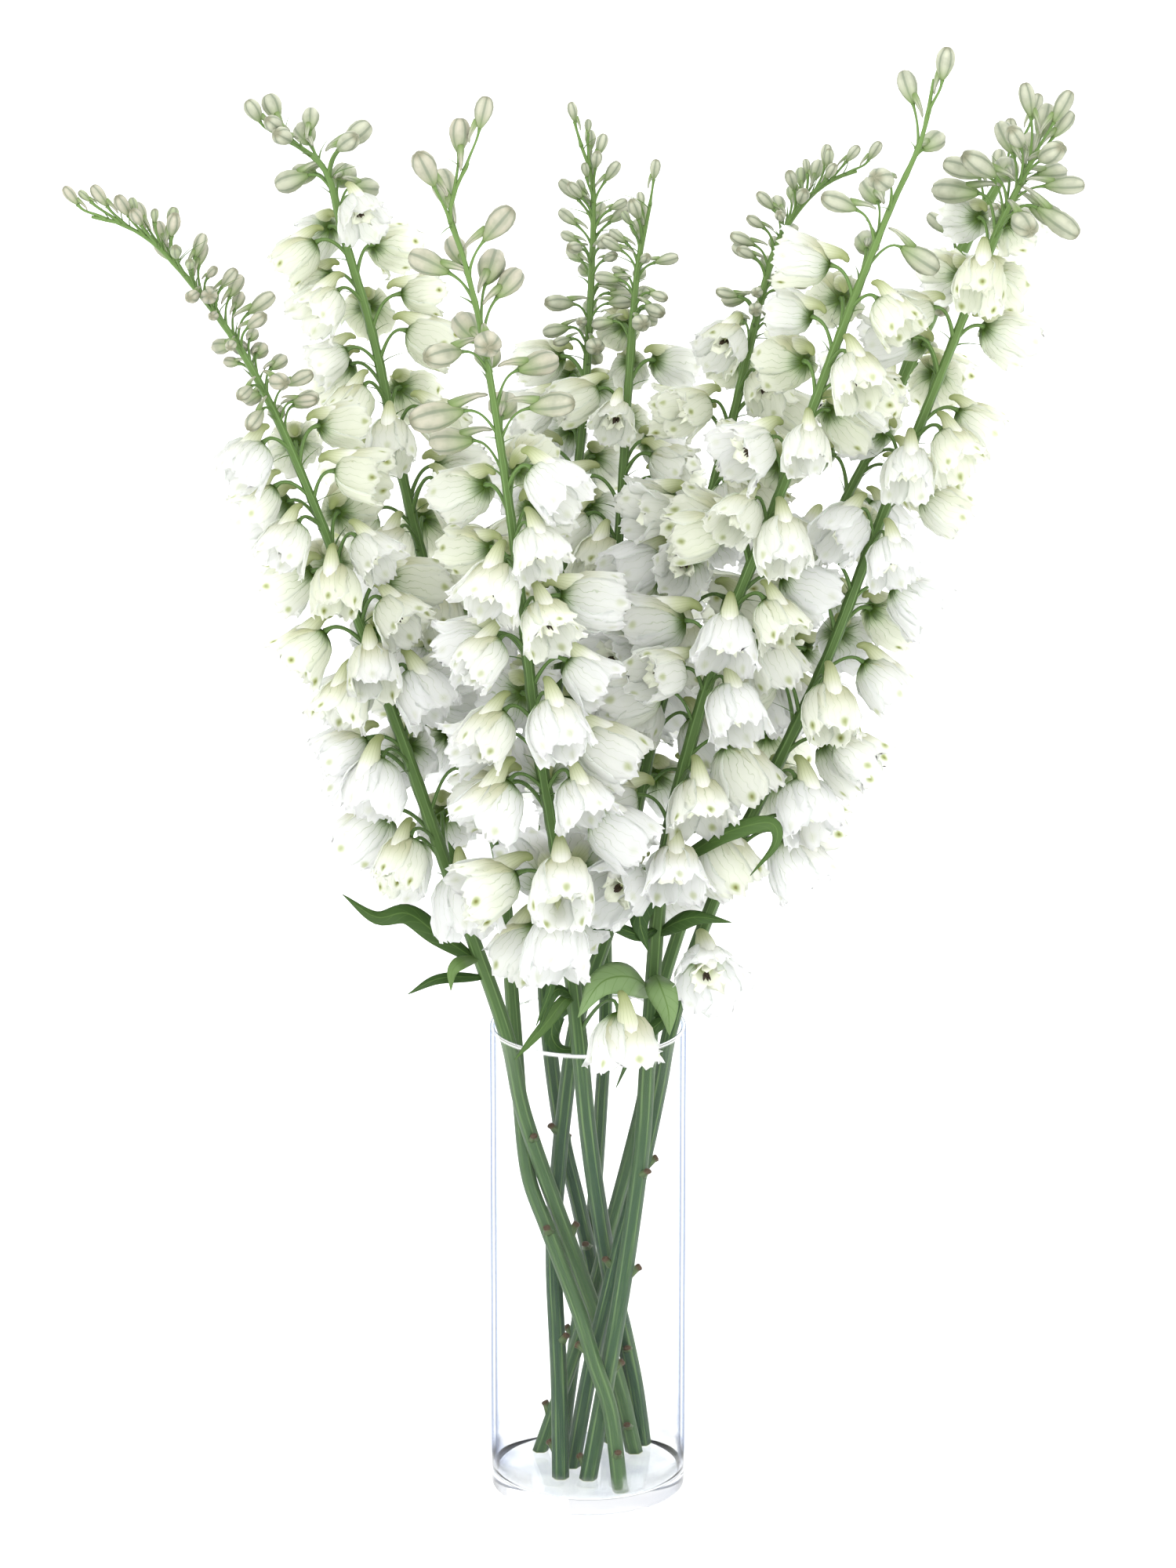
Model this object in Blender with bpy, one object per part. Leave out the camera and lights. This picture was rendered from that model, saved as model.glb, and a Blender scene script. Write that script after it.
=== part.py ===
"""Delphinium flower spikes standing in a clear glass cylinder vase.

Nine white spikes lean out of one straight-sided glass cylinder. Their cut ends stand on the glass
floor and their stems cross inside it and rest near the rim. Each spike is one body: a stem, flower
stalks, nodding five-lobed florets, buds towards the tip, and a few strap leaves low down.

Lengths are worked out in millimetres and written to the meshes in metres. +Z is up, the origin is
the centre of the vase's underside, and the arrangement is seen from -Y.
"""

import bmesh
import bpy
import numpy as np

METRES = 0.001
UP = np.array([0.0, 0.0, 1.0])
FRONT = np.array([0.0, -1.0, 0.0])

# Vase
VASE_RADIUS = 60.0
VASE_HEIGHT = 300.0
VASE_WALL = 2.5
VASE_FLOOR = 9.0
VASE_EDGE = 1.5
VASE_LIP = 0.8
VASE_SIDES = 40
GAP = 0.3

# Stem: its radii at the tip and at the first bud, and the share of its foot's radius at the rim
STEM_SIDES = 6
ROUTE_STEPS = 10
TIP_RADIUS = 0.9
NECK_RADIUS = 2.3
RIM_SHARE = 0.9

# Florets, buds and their stalks
GOLDEN_ANGLE = np.radians(137.508)
SEED = 1837
OPEN_SHARE = 0.3
FLORET_WIDTH = 35.0
FLORET_LENGTH = 39.0
FLORET_STALK = 34.0
BUD_WIDTH = 11.0
BUD_LENGTH = 19.0
BUD_STALK = 17.0
STALK_RADIUS = 1.3
SPUR_LENGTH = 14.0
LEAF_THICKNESS = 1.2
LEAF_FOOT = 0.8
LEAF_TILT = 0.8

# How far heads are drawn from the front of their stem, and how much more a floret nods at the front
SWAY = 0.6
DIP = np.radians(24)

# Growth up a spike, from the first floret or bud to the last, and the spread about it
FLORET_SIZES = (1.05, 0.85)
FLORET_STALKS = (1.05, 0.7)
FLORET_DROOPS = (1.0, 0.45)
FLORET_SPREAD = (0.95, 1.05)
FLORET_NOD_SPREAD = (-8, 8)
BUD_SIZES = (1.1, 0.7)
BUD_STALKS = (1.15, 0.75)
BUD_NODS = (12, -43)
BUD_SPREAD = (0.92, 1.08)
BUD_NOD_SPREAD = (-12, 12)
STALK_SPREAD = (0.9, 1.1)

# A stalk, as shares of its length: its way up for a floret and for a bud, its way out, and how far
# its bend is led at the root and at the head. Its rise follows the stem by this share.
FLORET_LIFT = 0.62
BUD_LIFT = 0.75
STALK_OUT = 0.66
ROOT_LEAD = 0.45
HEAD_LEAD = 0.38
RISE_ALONG_STEM = 0.55
STALK_POINTS = 7

# A floret's rings, as shares of its length along its axis and of its width across it
THROAT = (0.3, 0.4)
NOTCHES = (0.78, 0.45)
CLOSED_TIPS = (1.0, 0.49)
OPEN_TIPS = (0.88, 0.55)
HOLLOW_DEPTH = 0.5
SPUR_RISE = 0.3
LOBES = 5

# A bud's rings, as shares of its length along its axis, then of its width upwards and across
BUD_RINGS = ((0.3, 0.44, 0.5), (0.74, 0.36, 0.42))
BUD_STALK_SHARE = 0.75

# Balls for the clearance test: a head's, as shares of its length and width, then the others
HEAD_BALLS = ((0.28, 0.36), (0.58, 0.49), (0.86, 0.52))
SPUR_BALL = 2.5
SPUR_BALL_SHARE = 0.7
STEM_BALL_STEP = 4.0
STEM_MARGIN = 0.4
LEAF_BALL_SHARE = 0.34

# Turns about the stem, stalk lengths and nods that are tried in order until a floret is clear
TURNS = np.radians([0, 20, -20, 42, -42, 66, -66, 92, -92, 120, -120, 150, -150, 180])
STALK_FACTORS = (1.0, 1.3, 0.75)
NOD_CHANGES = np.radians([0.0, 22.0, -30.0])
CLEAR_OF_OTHERS = 1.2
CLEAR_OF_OWN = 0.6

# Each spike's stem runs through its route points. Heights are where its lowest floret, its first bud
# and its last bud leave the stem. Droop is how far the low florets nod below the horizontal. Hung
# florets come before the rest: height, turn from the front, stalk, nod and width.
SPIKES = {
    "spike_a": {
        "route": [(29, 22, 9), (17, 17, 64), (-5, 10, 134), (-38, -2, 237), (-51, -9, 300),
                  (-83, -20, 399), (-123, -35, 525), (-166, -50, 651), (-202, -58, 733),
                  (-244, -65, 792), (-268, -68, 811), (-288, -70, 817)],
        "foot_radius": 5.0, "florets": 19, "buds": 15, "heights": (392, 672, 815),
        "size": 0.98, "bud_size": 0.9, "droop": 38, "start": 10, "hung": [],
    },
    "spike_b": {
        "route": [(20, -42, 9), (14, -40, 60), (4, -33, 90), (-4, -24, 115), (-14, -12, 140),
                  (-26, -3, 170), (-37, 6, 200), (-42, 14, 245), (-46, 21, 300), (-54, 40, 391),
                  (-72, 50, 450), (-98, 66, 563), (-115, 74, 636), (-129, 82, 706),
                  (-147, 88, 770), (-157, 90, 809), (-172, 90, 825), (-188, 90, 833)],
        "foot_radius": 4.6, "florets": 21, "buds": 7, "heights": (440, 780, 831),
        "size": 0.92, "bud_size": 1.0, "droop": 32, "start": 150, "hung": [],
    },
    "spike_c": {
        "route": [(34, 36, 9), (29, 31, 50), (22, 22, 90), (14, 6, 132), (6, -18, 190),
                  (0, -33, 241), (-5, -47, 300), (-12, -65, 374), (-19, -80, 438),
                  (-30, -100, 512), (-43, -120, 636), (-58, -140, 748),
                  (-70, -150, 807), (-78, -155, 832), (-76, -155, 848), (-68, -155, 866)],
        "foot_radius": 5.4, "florets": 19, "buds": 12, "heights": (352, 668, 863),
        "size": 1.04, "bud_size": 1.35, "droop": 36, "start": 80, "hung": [(308, 42, 50, 78, 38)],
    },
    "spike_d": {
        "route": [(14, 40, 9), (10, 36, 80), (2, 34, 130), (-6, 33, 170), (-17, 32, 222),
                  (-26, 37, 300), (-28, 62, 381), (-20, 98, 473), (-9, 125, 590), (-2, 140, 658),
                  (2, 155, 730), (3, 160, 787), (-5, 162, 815)],
        "foot_radius": 4.8, "florets": 17, "buds": 12, "heights": (430, 668, 812),
        "size": 0.92, "bud_size": 0.9, "droop": 30, "start": 230, "hung": [],
    },
    "spike_e": {
        "route": [(-16, 44, 9), (-6, 44, 90), (3, 44, 160), (8, 46, 230), (11, 49, 300),
                  (10, 75, 430), (14, 85, 513), (20, 100, 597), (25, 112, 677), (30, 118, 743),
                  (36, 120, 775), (38, 120, 786)],
        "foot_radius": 4.2, "florets": 13, "buds": 8, "heights": (470, 692, 784),
        "size": 0.88, "bud_size": 0.85, "droop": 30, "start": 20, "hung": [],
    },
    "spike_f": {
        "route": [(-17, -20, 9), (-18, -8, 70), (-21, 10, 130), (-21, 18, 165), (-19, 20, 190),
                  (-15, 17, 235), (-6, 13, 300), (14, 16, 362), (38, 24, 470), (72, 40, 614),
                  (87, 46, 668), (101, 52, 728), (113, 58, 772), (130, 60, 799), (147, 62, 812),
                  (161, 62, 817)],
        "foot_radius": 5.0, "florets": 17, "buds": 12, "heights": (420, 706, 815),
        "size": 0.95, "bud_size": 0.85, "droop": 32, "start": 300, "hung": [],
    },
    "spike_g": {
        "route": [(0, -22, 9), (12, -24, 80), (24, -32, 160), (33, -34, 235), (37, -31, 300),
                  (45, -34, 409), (61, -40, 489), (84, -46, 568), (109, -50, 635), (130, -54, 694),
                  (155, -58, 765), (175, -60, 818), (193, -60, 860), (200, -60, 896)],
        "foot_radius": 5.2, "florets": 20, "buds": 7, "heights": (372, 765, 894),
        "size": 1.0, "bud_size": 1.25, "droop": 30, "start": 200, "hung": [],
    },
    "spike_h": {
        "route": [(-10, -2, 9), (2, -8, 80), (14, -14, 135), (22, -16, 170), (34, -12, 215),
                  (44, -6, 262), (51, -3, 300), (67, -4, 354), (90, -8, 415), (115, -10, 470),
                  (143, -13, 534), (173, -17, 618), (198, -18, 683), (221, -20, 745),
                  (243, -20, 803), (264, -20, 848)],
        "foot_radius": 4.8, "florets": 20, "buds": 11, "heights": (412, 790, 847),
        "size": 0.97, "bud_size": 1.35, "droop": 34, "start": 40, "hung": [(338, 12, 26, 18, 38)],
    },
    "spike_i": {
        "route": [(-30, 24, 9), (-10, 24, 70), (2, 23, 110), (12, 25, 150), (26, 28, 205),
                  (36, 30, 250), (42, 31, 300), (64, 46, 370), (101, 66, 482), (150, 86, 592),
                  (176, 95, 644), (199, 102, 697), (227, 108, 758), (250, 110, 802),
                  (264, 110, 828)],
        "foot_radius": 4.4, "florets": 14, "buds": 8, "heights": (450, 680, 824),
        "size": 0.9, "bud_size": 0.95, "droop": 32, "start": 100, "hung": [],
    },
}

# Large leaves: the spike that carries each one, the height where it leaves the stem, its mid-line
# from there to its tip, and its width
LEAVES = [
    ("spike_a", 343, [(-90, -24, 364), (-109, -30, 380), (-128, -34, 379), (-148, -36, 394)], 13.0),
    ("spike_a", 334, [(-90, -28, 338), (-109, -34, 330)], 6.0),
    ("spike_g", 408, [(66, -55, 429), (84, -70, 444), (108, -75, 451), (112, -73, 438),
                      (97, -68, 416)], 10.0),
    ("spike_g", 368, [(53, -48, 380), (66, -56, 386), (86, -60, 384)], 11.0),
    ("spike_g", 404, [(37, -50, 402), (31, -58, 386), (36, -60, 366)], 16.0),
    ("spike_g", 330, [(26, -62, 350), (8, -78, 352), (-6, -84, 332)], 22.0),
    ("spike_c", 384, [(-25, -86, 390), (-36, -92, 374)], 6.0),
    ("spike_c", 336, [(-20, -76, 346), (-30, -82, 322)], 7.0),
    ("spike_f", 356, [(22, -6, 376), (26, -14, 396)], 12.0),
]


def unit(v):
    return v / np.linalg.norm(v)


def smooth_route(route, per_span=ROUTE_STEPS):
    """Catmull-Rom curve: each span runs between two route points, led by their neighbours."""
    p = np.array(route, float)
    p = np.vstack([2 * p[0] - p[1], p, 2 * p[-1] - p[-2]])
    t = np.linspace(0, 1, per_span, endpoint=False)[:, None]
    spans = [
        0.5 * (2 * b + (c - a) * t + (2 * a - 5 * b + 4 * c - d) * t**2 + (3 * b - a - 3 * c + d) * t**3)
        for a, b, c, d in zip(p, p[1:], p[2:], p[3:])
    ]
    return np.vstack([*spans, p[-2:-1]])


def stem_of(spike):
    """The stem's mid-line, its running length, and its radius at any length."""
    points = smooth_route(spike["route"])
    length = np.concatenate([[0], np.cumsum(np.linalg.norm(np.diff(points, axis=0), axis=1))])
    rim = np.interp(VASE_HEIGHT, points[:, 2], length)
    budding = np.interp(spike["heights"][1], points[:, 2], length)
    foot = spike["foot_radius"]
    keys = ((0, foot), (rim, foot * RIM_SHARE), (budding, NECK_RADIUS), (length[-1], TIP_RADIUS))
    return {"points": points, "length": length, "keys": np.array(keys),
            "knots": points[::ROUTE_STEPS], "knot_length": length[::ROUTE_STEPS]}


def stem_at(stem, s):
    """Point and direction of the stem at running length s."""
    place = np.array([np.interp(s, stem["length"], stem["points"][:, i]) for i in range(3)])
    ahead = np.array([np.interp(s + 2, stem["length"], stem["points"][:, i]) for i in range(3)])
    behind = np.array([np.interp(s - 2, stem["length"], stem["points"][:, i]) for i in range(3)])
    return place, unit(ahead - behind)


def leaf_root(stem, height):
    """The middle of the stem at this height."""
    return np.array([np.interp(height, stem["knots"][:, 2], stem["knots"][:, i]) for i in range(3)])


def stem_radius(stem, s):
    return np.interp(s, stem["keys"][:, 0], stem["keys"][:, 1])


def outward(along, turn):
    """The direction square to the stem at this turn about it, counted from the front."""
    side = unit(np.cross(along, FRONT))
    front = np.cross(side, along)
    return np.cos(turn) * front + np.sin(turn) * side


def grow(ends, share):
    """The value this share of the way from the first of two ends to the second."""
    return ends[0] + (ends[1] - ends[0]) * share


def arch(root, start, neck, end, count):
    """A bend from root, leaving along start, to neck, arriving along end."""
    reach = np.linalg.norm(neck - root)
    a = root + ROOT_LEAD * reach * start
    b = neck - HEAD_LEAD * reach * end
    t = np.linspace(0, 1, count)[:, None]
    return (1 - t) ** 3 * root + 3 * t * (1 - t) ** 2 * a + 3 * t**2 * (1 - t) * b + t**3 * neck


def bloom(stem, slot):
    """Place one floret or bud: its stalk rises from the stem and arches over to the nodding head.

    Lead turns it from square to the stem, at 0, to straight on from the stem's tip, at 1. The turn
    about the stem is the slot's turn + sway sin(turn), which leaves the front of the stem more bare.
    The nod is the slot's nod + dip cos(turn) on the front half, so those florets hang lower.
    """
    s = slot["s"]
    root, along = stem_at(stem, s)
    turn = slot["turn"] + slot["sway"] * np.sin(slot["turn"])
    nod = slot["nod"] + slot["dip"] * max(0.0, np.cos(turn))
    out = unit((1 - slot["lead"]) * outward(along, turn) + slot["lead"] * along)
    rise = unit(RISE_ALONG_STEM * along + (1 - RISE_ALONG_STEM) * UP)
    lift = FLORET_LIFT if slot["kind"] == "floret" else BUD_LIFT
    neck = root + slot["stalk"] * (lift * rise + STALK_OUT * out) + out * stem_radius(stem, s)
    axis = unit(np.cos(nod) * out - np.sin(nod) * UP)
    path = arch(root, unit(2 * rise + out), neck, axis, STALK_POINTS)
    top = unit(UP + rise - axis * np.dot(UP + rise, axis))
    return {**slot, "path": path, "axis": axis, "top": top}


def balls_of(item):
    """Balls that hold the head, its spur and its stalk, for the clearance test."""
    neck, d, w, n = item["path"][-1], item["axis"], item["width"], item["length"]
    heads = [(neck + along * n * d, across * w) for along, across in HEAD_BALLS]
    if item["kind"] == "floret":
        spur = SPUR_LENGTH * w / FLORET_WIDTH
        heads.append((neck - SPUR_BALL_SHARE * spur * d + SPUR_RISE * w * item["top"], SPUR_BALL))
    stalk = [(p, STALK_RADIUS) for p in item["path"][3:-1]]
    near = [(p, STALK_RADIUS) for p in item["path"][1:3]]
    return heads + stalk, near


class Space:
    """Balls for everything placed so far, each with the number of the spike it belongs to."""

    def __init__(self):
        self.centres = np.zeros((0, 3))
        self.radii = np.zeros(0)
        self.owners = np.zeros(0, int)

    def add(self, balls, owner):
        self.centres = np.vstack([self.centres, [c for c, _ in balls]])
        self.radii = np.append(self.radii, [r for _, r in balls])
        self.owners = np.append(self.owners, [owner] * len(balls))

    def room(self, balls, owner, own):
        """Least clearance of these balls from the other spikes' balls, or from the owner's."""
        mask = (self.owners == owner) if own else (self.owners != owner)
        if not mask.any():
            return np.inf
        c = np.array([c for c, _ in balls])
        r = np.array([r for _, r in balls])
        gaps = np.linalg.norm(c[:, None] - self.centres[mask], axis=2) - r[:, None] - self.radii[mask]
        return gaps.min()


def glass_room(balls):
    """Least clearance of the balls from the vase's wall."""
    c = np.array([c for c, _ in balls])
    r = np.array([r for _, r in balls])
    across = np.abs(np.hypot(c[:, 0], c[:, 1]) - (VASE_RADIUS - VASE_WALL / 2))
    above = np.maximum(c[:, 2] - VASE_HEIGHT, 0)
    return (np.hypot(across, above) - r).min() - VASE_WALL / 2


def try_places(space, stem, owner, slot):
    """The first turn, stalk and nod at which this slot's bloom is clear of all that stands already."""
    for factor in STALK_FACTORS:
        for change in NOD_CHANGES:
            for turn in TURNS:
                item = bloom(stem, {**slot, "turn": slot["turn"] + turn, "nod": slot["nod"] + change,
                                    "stalk": slot["stalk"] * factor})
                head, near = balls_of(item)
                if space.room(head, owner, True) < CLEAR_OF_OWN:
                    continue
                if space.room(head + near, owner, False) < CLEAR_OF_OTHERS:
                    continue
                if glass_room(head + near) > CLEAR_OF_OTHERS:
                    return item, head + near
    return None, None


def slots_of(spike, stem, rng):
    """The florets from the bottom up, then the buds, each a golden angle on from the last."""
    low, budding, last = (np.interp(z, stem["points"][:, 2], stem["length"]) for z in spike["heights"])
    slots = []
    for height, degrees, stalk, nod, width in spike["hung"]:
        slots.append({"kind": "floret", "open": True, "lead": 0.0, "sway": 0.0, "dip": 0.0,
                      "turn": np.radians(degrees),
                      "s": np.interp(height, stem["points"][:, 2], stem["length"]),
                      "nod": np.radians(nod), "stalk": stalk, "width": width, "length": width})
    turn = np.radians(spike["start"])
    for s in np.linspace(low, budding, spike["florets"]):
        share = (s - low) / (budding - low)
        size = spike["size"] * grow(FLORET_SIZES, share) * rng.uniform(*FLORET_SPREAD)
        nod = spike["droop"] * grow(FLORET_DROOPS, share) + rng.uniform(*FLORET_NOD_SPREAD)
        slots.append({"kind": "floret", "open": rng.random() < OPEN_SHARE, "lead": 0.0, "s": s,
                      "sway": SWAY, "dip": DIP, "turn": turn, "nod": np.radians(nod),
                      "stalk": FLORET_STALK * grow(FLORET_STALKS, share) * rng.uniform(*STALK_SPREAD),
                      "width": FLORET_WIDTH * size, "length": FLORET_LENGTH * size})
        turn += GOLDEN_ANGLE
    for s in np.linspace(budding, last, spike["buds"] + 1)[1:]:
        share = (s - budding) / (last - budding)
        size = spike["bud_size"] * grow(BUD_SIZES, share) * rng.uniform(*BUD_SPREAD)
        nod = grow(BUD_NODS, share) + rng.uniform(*BUD_NOD_SPREAD)
        stalk = BUD_STALK * spike["bud_size"] * grow(BUD_STALKS, share) * rng.uniform(*STALK_SPREAD)
        slots.append({"kind": "bud", "open": False, "lead": share**3, "s": s, "turn": turn,
                      "sway": SWAY, "dip": 0.0, "nod": np.radians(nod), "stalk": stalk,
                      "width": BUD_WIDTH * size, "length": BUD_LENGTH * size})
        turn += GOLDEN_ANGLE
    return slots


def place_all():
    """Every floret and bud of every spike, placed in turn from the bottom up, clear of each other."""
    rng = np.random.default_rng(SEED)
    space = Space()
    stems = {name: stem_of(spike) for name, spike in SPIKES.items()}
    owners = {name: number for number, name in enumerate(SPIKES)}
    for name, stem in stems.items():
        every = np.arange(0, stem["length"][-1], STEM_BALL_STEP)
        balls = [(stem_at(stem, s)[0], stem_radius(stem, s) + STEM_MARGIN) for s in every]
        space.add(balls, owners[name])
    for name, height, route, width in LEAVES:
        line = smooth_route([leaf_root(stems[name], height), *route])[ROUTE_STEPS:]
        space.add([(p, LEAF_BALL_SHARE * width) for p in line], owners[name])
    slots = {name: slots_of(spike, stems[name], rng) for name, spike in SPIKES.items()}
    placed = {name: [] for name in SPIKES}
    for number in range(max(len(s) for s in slots.values())):
        for name in SPIKES:
            if number >= len(slots[name]):
                continue
            item, balls = try_places(space, stems[name], owners[name], slots[name][number])
            if item:
                placed[name].append(item)
                space.add(balls, owners[name])
    return stems, placed


def ring(centre, across, up, radius_across, radius_up, count, start=0.0):
    """Points round an ellipse, counted from its across axis towards its up axis."""
    a = start + np.linspace(0, 2 * np.pi, count, endpoint=False)[:, None]
    return centre + radius_across * np.cos(a) * across + radius_up * np.sin(a) * up


def stitch(a_first, a_count, b_first, b_count):
    """Triangles between two rings with different numbers of points, facing out."""
    faces = []
    i = j = 0
    while i < a_count or j < b_count:
        a0, b0 = a_first + i % a_count, b_first + j % b_count
        if j >= b_count or (i < a_count and (i + 0.5) / a_count <= (j + 0.5) / b_count):
            faces.append((a0, a_first + (i + 1) % a_count, b0))
            i += 1
        else:
            faces.append((a0, b_first + (j + 1) % b_count, b0))
            j += 1
    return faces


def skin(rings, first_point=None, last_point=None):
    """A closed surface over rings of points, each end closed by a point or by a flat cap."""
    points = []
    firsts = []
    faces = []
    for r in rings:
        firsts.append(len(points))
        points += list(r)
    for k in range(len(rings) - 1):
        faces += stitch(firsts[k], len(rings[k]), firsts[k + 1], len(rings[k + 1]))
    n = len(rings[0])
    m = len(rings[-1])
    if first_point is None:
        faces += [(firsts[0], firsts[0] + i + 1, firsts[0] + i) for i in range(1, n - 1)]
    else:
        points.append(first_point)
        faces += [(len(points) - 1, firsts[0] + (i + 1) % n, firsts[0] + i) for i in range(n)]
    if last_point is None:
        faces += [(firsts[-1], firsts[-1] + i, firsts[-1] + i + 1) for i in range(1, m - 1)]
    else:
        points.append(last_point)
        faces += [(len(points) - 1, firsts[-1] + i, firsts[-1] + (i + 1) % m) for i in range(m)]
    return points, faces


def stem_solid(stem):
    """A six-sided stem with a ring at each route point. Its cut end is level, a gap above the floor."""
    rings = []
    for s in stem["knot_length"]:
        centre, along = stem_at(stem, s)
        side = unit(np.cross(along, FRONT))
        radius = stem_radius(stem, s)
        points = ring(centre, side, np.cross(along, side), radius, radius, STEM_SIDES)
        if s == 0:
            points = points + along * ((VASE_FLOOR + GAP - points[:, 2]) / along[2])[:, None]
        rings.append(points)
    return skin(rings)


def sunk(item, stem):
    """The bloom's stalk with its root moved to the middle of the faceted stem."""
    root = [np.interp(item["s"], stem["knot_length"], stem["knots"][:, i]) for i in range(3)]
    return {**item, "path": np.vstack([root, item["path"][1:]])}


def stalk_rings(path, side, radius, steps):
    """Three-sided rings at these steps along a stalk, from inside the stem to the head.

    The stalk arches in the plane square to side, so the rings turn with it and never twist.
    """
    rings = []
    for k in steps:
        along = unit(path[min(k + 1, len(path) - 1)] - path[max(k - 1, 0)])
        up = unit(np.cross(side, along))
        rings.append(ring(path[k], up, np.cross(along, up), radius, radius, 3))
    return rings


def floret_solid(item):
    """A nodding bell of five lobes with a hollow mouth and a spur drawn out of its top.

    Returns its points and faces, and the number of stalk points that come first.
    """
    d, top, w, n = item["axis"], item["top"], item["width"], item["length"]
    neck = item["path"][-1]
    side = np.cross(d, top)
    rings = stalk_rings(item["path"], side, STALK_RADIUS, (0, STALK_POINTS // 2, STALK_POINTS - 1))
    stalk_count = 3 * len(rings)

    def lobed(shares, start=0.0):
        along, across = shares
        return ring(neck + along * n * d, top, side, across * w, across * w, LOBES, start)

    tips = lobed(OPEN_TIPS if item["open"] else CLOSED_TIPS)
    notches = lobed(NOTCHES, np.pi / LOBES)
    rings += [lobed(THROAT), np.stack([tips, notches], axis=1).reshape(-1, 3)]
    points, faces = skin(rings, last_point=neck + HOLLOW_DEPTH * n * d)
    shoulder = neck + (THROAT[0] * n * d + THROAT[1] * w * top) / 2
    spur = SPUR_LENGTH * w / FLORET_WIDTH
    raise_spur(points, faces, shoulder, neck - spur * d + SPUR_RISE * w * top)
    return points, faces, stalk_count


def raise_spur(points, faces, base, tip):
    """Draw the face nearest to base out to a point at tip."""
    middles = np.array([np.mean([points[i] for i in f], axis=0) for f in faces])
    face = faces.pop(int(np.argmin(np.linalg.norm(middles - base, axis=1))))
    points.append(tip)
    last = len(points) - 1
    faces += [(face[i], face[(i + 1) % 3], last) for i in range(3)]


def bud_solid(item):
    """An oblong bud on its stalk, blunt at the tip, given as a floret is."""
    d, top, w, n = item["axis"], item["top"], item["width"], item["length"]
    neck = item["path"][-1]
    side = np.cross(d, top)
    rings = stalk_rings(item["path"], side, BUD_STALK_SHARE * STALK_RADIUS, (0, STALK_POINTS - 1))
    stalk_count = 3 * len(rings)
    for along, up, across in BUD_RINGS:
        rings.append(ring(neck + along * n * d, top, side, up * w, across * w, 4))
    return *skin(rings, last_point=neck + n * d), stalk_count


def leaf_solid(stem, height, route, width):
    """A strap leaf: a thin rhombus carried along its mid-line, widest at two fifths of its length."""
    line = smooth_route([leaf_root(stem, height), *route], 2)
    share = np.linspace(0, 1, len(line))
    half = 0.5 * width * np.sin(np.pi * share**0.75) + LEAF_FOOT
    rings = []
    for k in range(len(line) - 1):
        along = unit(line[k + 1] - line[max(k - 1, 0)])
        side = unit(np.cross(along, FRONT + LEAF_TILT * UP))
        rings.append(ring(line[k], side, np.cross(along, side), half[k], LEAF_THICKNESS / 2, 4))
    return *skin(rings, last_point=line[-1]), None


def material(name, colour, roughness, transmission=0.0):
    made = bpy.data.materials.new(name)
    made.use_nodes = True
    shader = made.node_tree.nodes["Principled BSDF"]
    shader.inputs["Base Color"].default_value = (*colour, 1.0)
    shader.inputs["Roughness"].default_value = roughness
    shader.inputs["Metallic"].default_value = 0.0
    shader.inputs["Transmission Weight"].default_value = transmission
    return made


def mesh_object(name, points, faces, materials, petal_from=None):
    """A mesh object in metres. Faces with a point from petal_from on are petal; the rest are green."""
    mesh = bpy.data.meshes.new(name)
    mesh.from_pydata((np.array(points) * METRES).tolist(), [], faces)
    for made in materials:
        mesh.materials.append(made)
    if petal_from is not None:
        for polygon in mesh.polygons:
            polygon.material_index = int(max(polygon.vertices) >= petal_from)
    mesh.validate()
    made = bpy.data.objects.new(name, mesh)
    bpy.context.scene.collection.objects.link(made)
    return made


def build_vase():
    """Turn the vase's profile: flat underside, thick floor, straight wall and rounded rim."""
    outer = VASE_RADIUS
    inner = VASE_RADIUS - VASE_WALL
    middle = VASE_RADIUS - VASE_WALL / 2
    lip = VASE_HEIGHT - VASE_LIP
    profile = [(0, 0), (outer - VASE_EDGE, 0), (outer, VASE_EDGE), (outer, lip), (middle, VASE_HEIGHT),
               (inner, lip), (inner, VASE_FLOOR), (0, VASE_FLOOR)]
    mesh = bpy.data.meshes.new("vase")
    shape = bmesh.new()
    points = [shape.verts.new((r * METRES, 0, z * METRES)) for r, z in profile]
    edges = [shape.edges.new(pair) for pair in zip(points, points[1:])]
    bmesh.ops.spin(shape, geom=points + edges, cent=(0, 0, 0), axis=(0, 0, 1), angle=2 * np.pi,
                   steps=VASE_SIDES, use_merge=True)
    bmesh.ops.remove_doubles(shape, verts=shape.verts, dist=1e-6)
    bmesh.ops.recalc_face_normals(shape, faces=shape.faces)
    shape.to_mesh(mesh)
    shape.free()
    mesh.materials.append(material("vase_glass", (0.93, 0.96, 0.97), 0.03, 1.0))
    made = bpy.data.objects.new("vase", mesh)
    bpy.context.scene.collection.objects.link(made)


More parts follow.
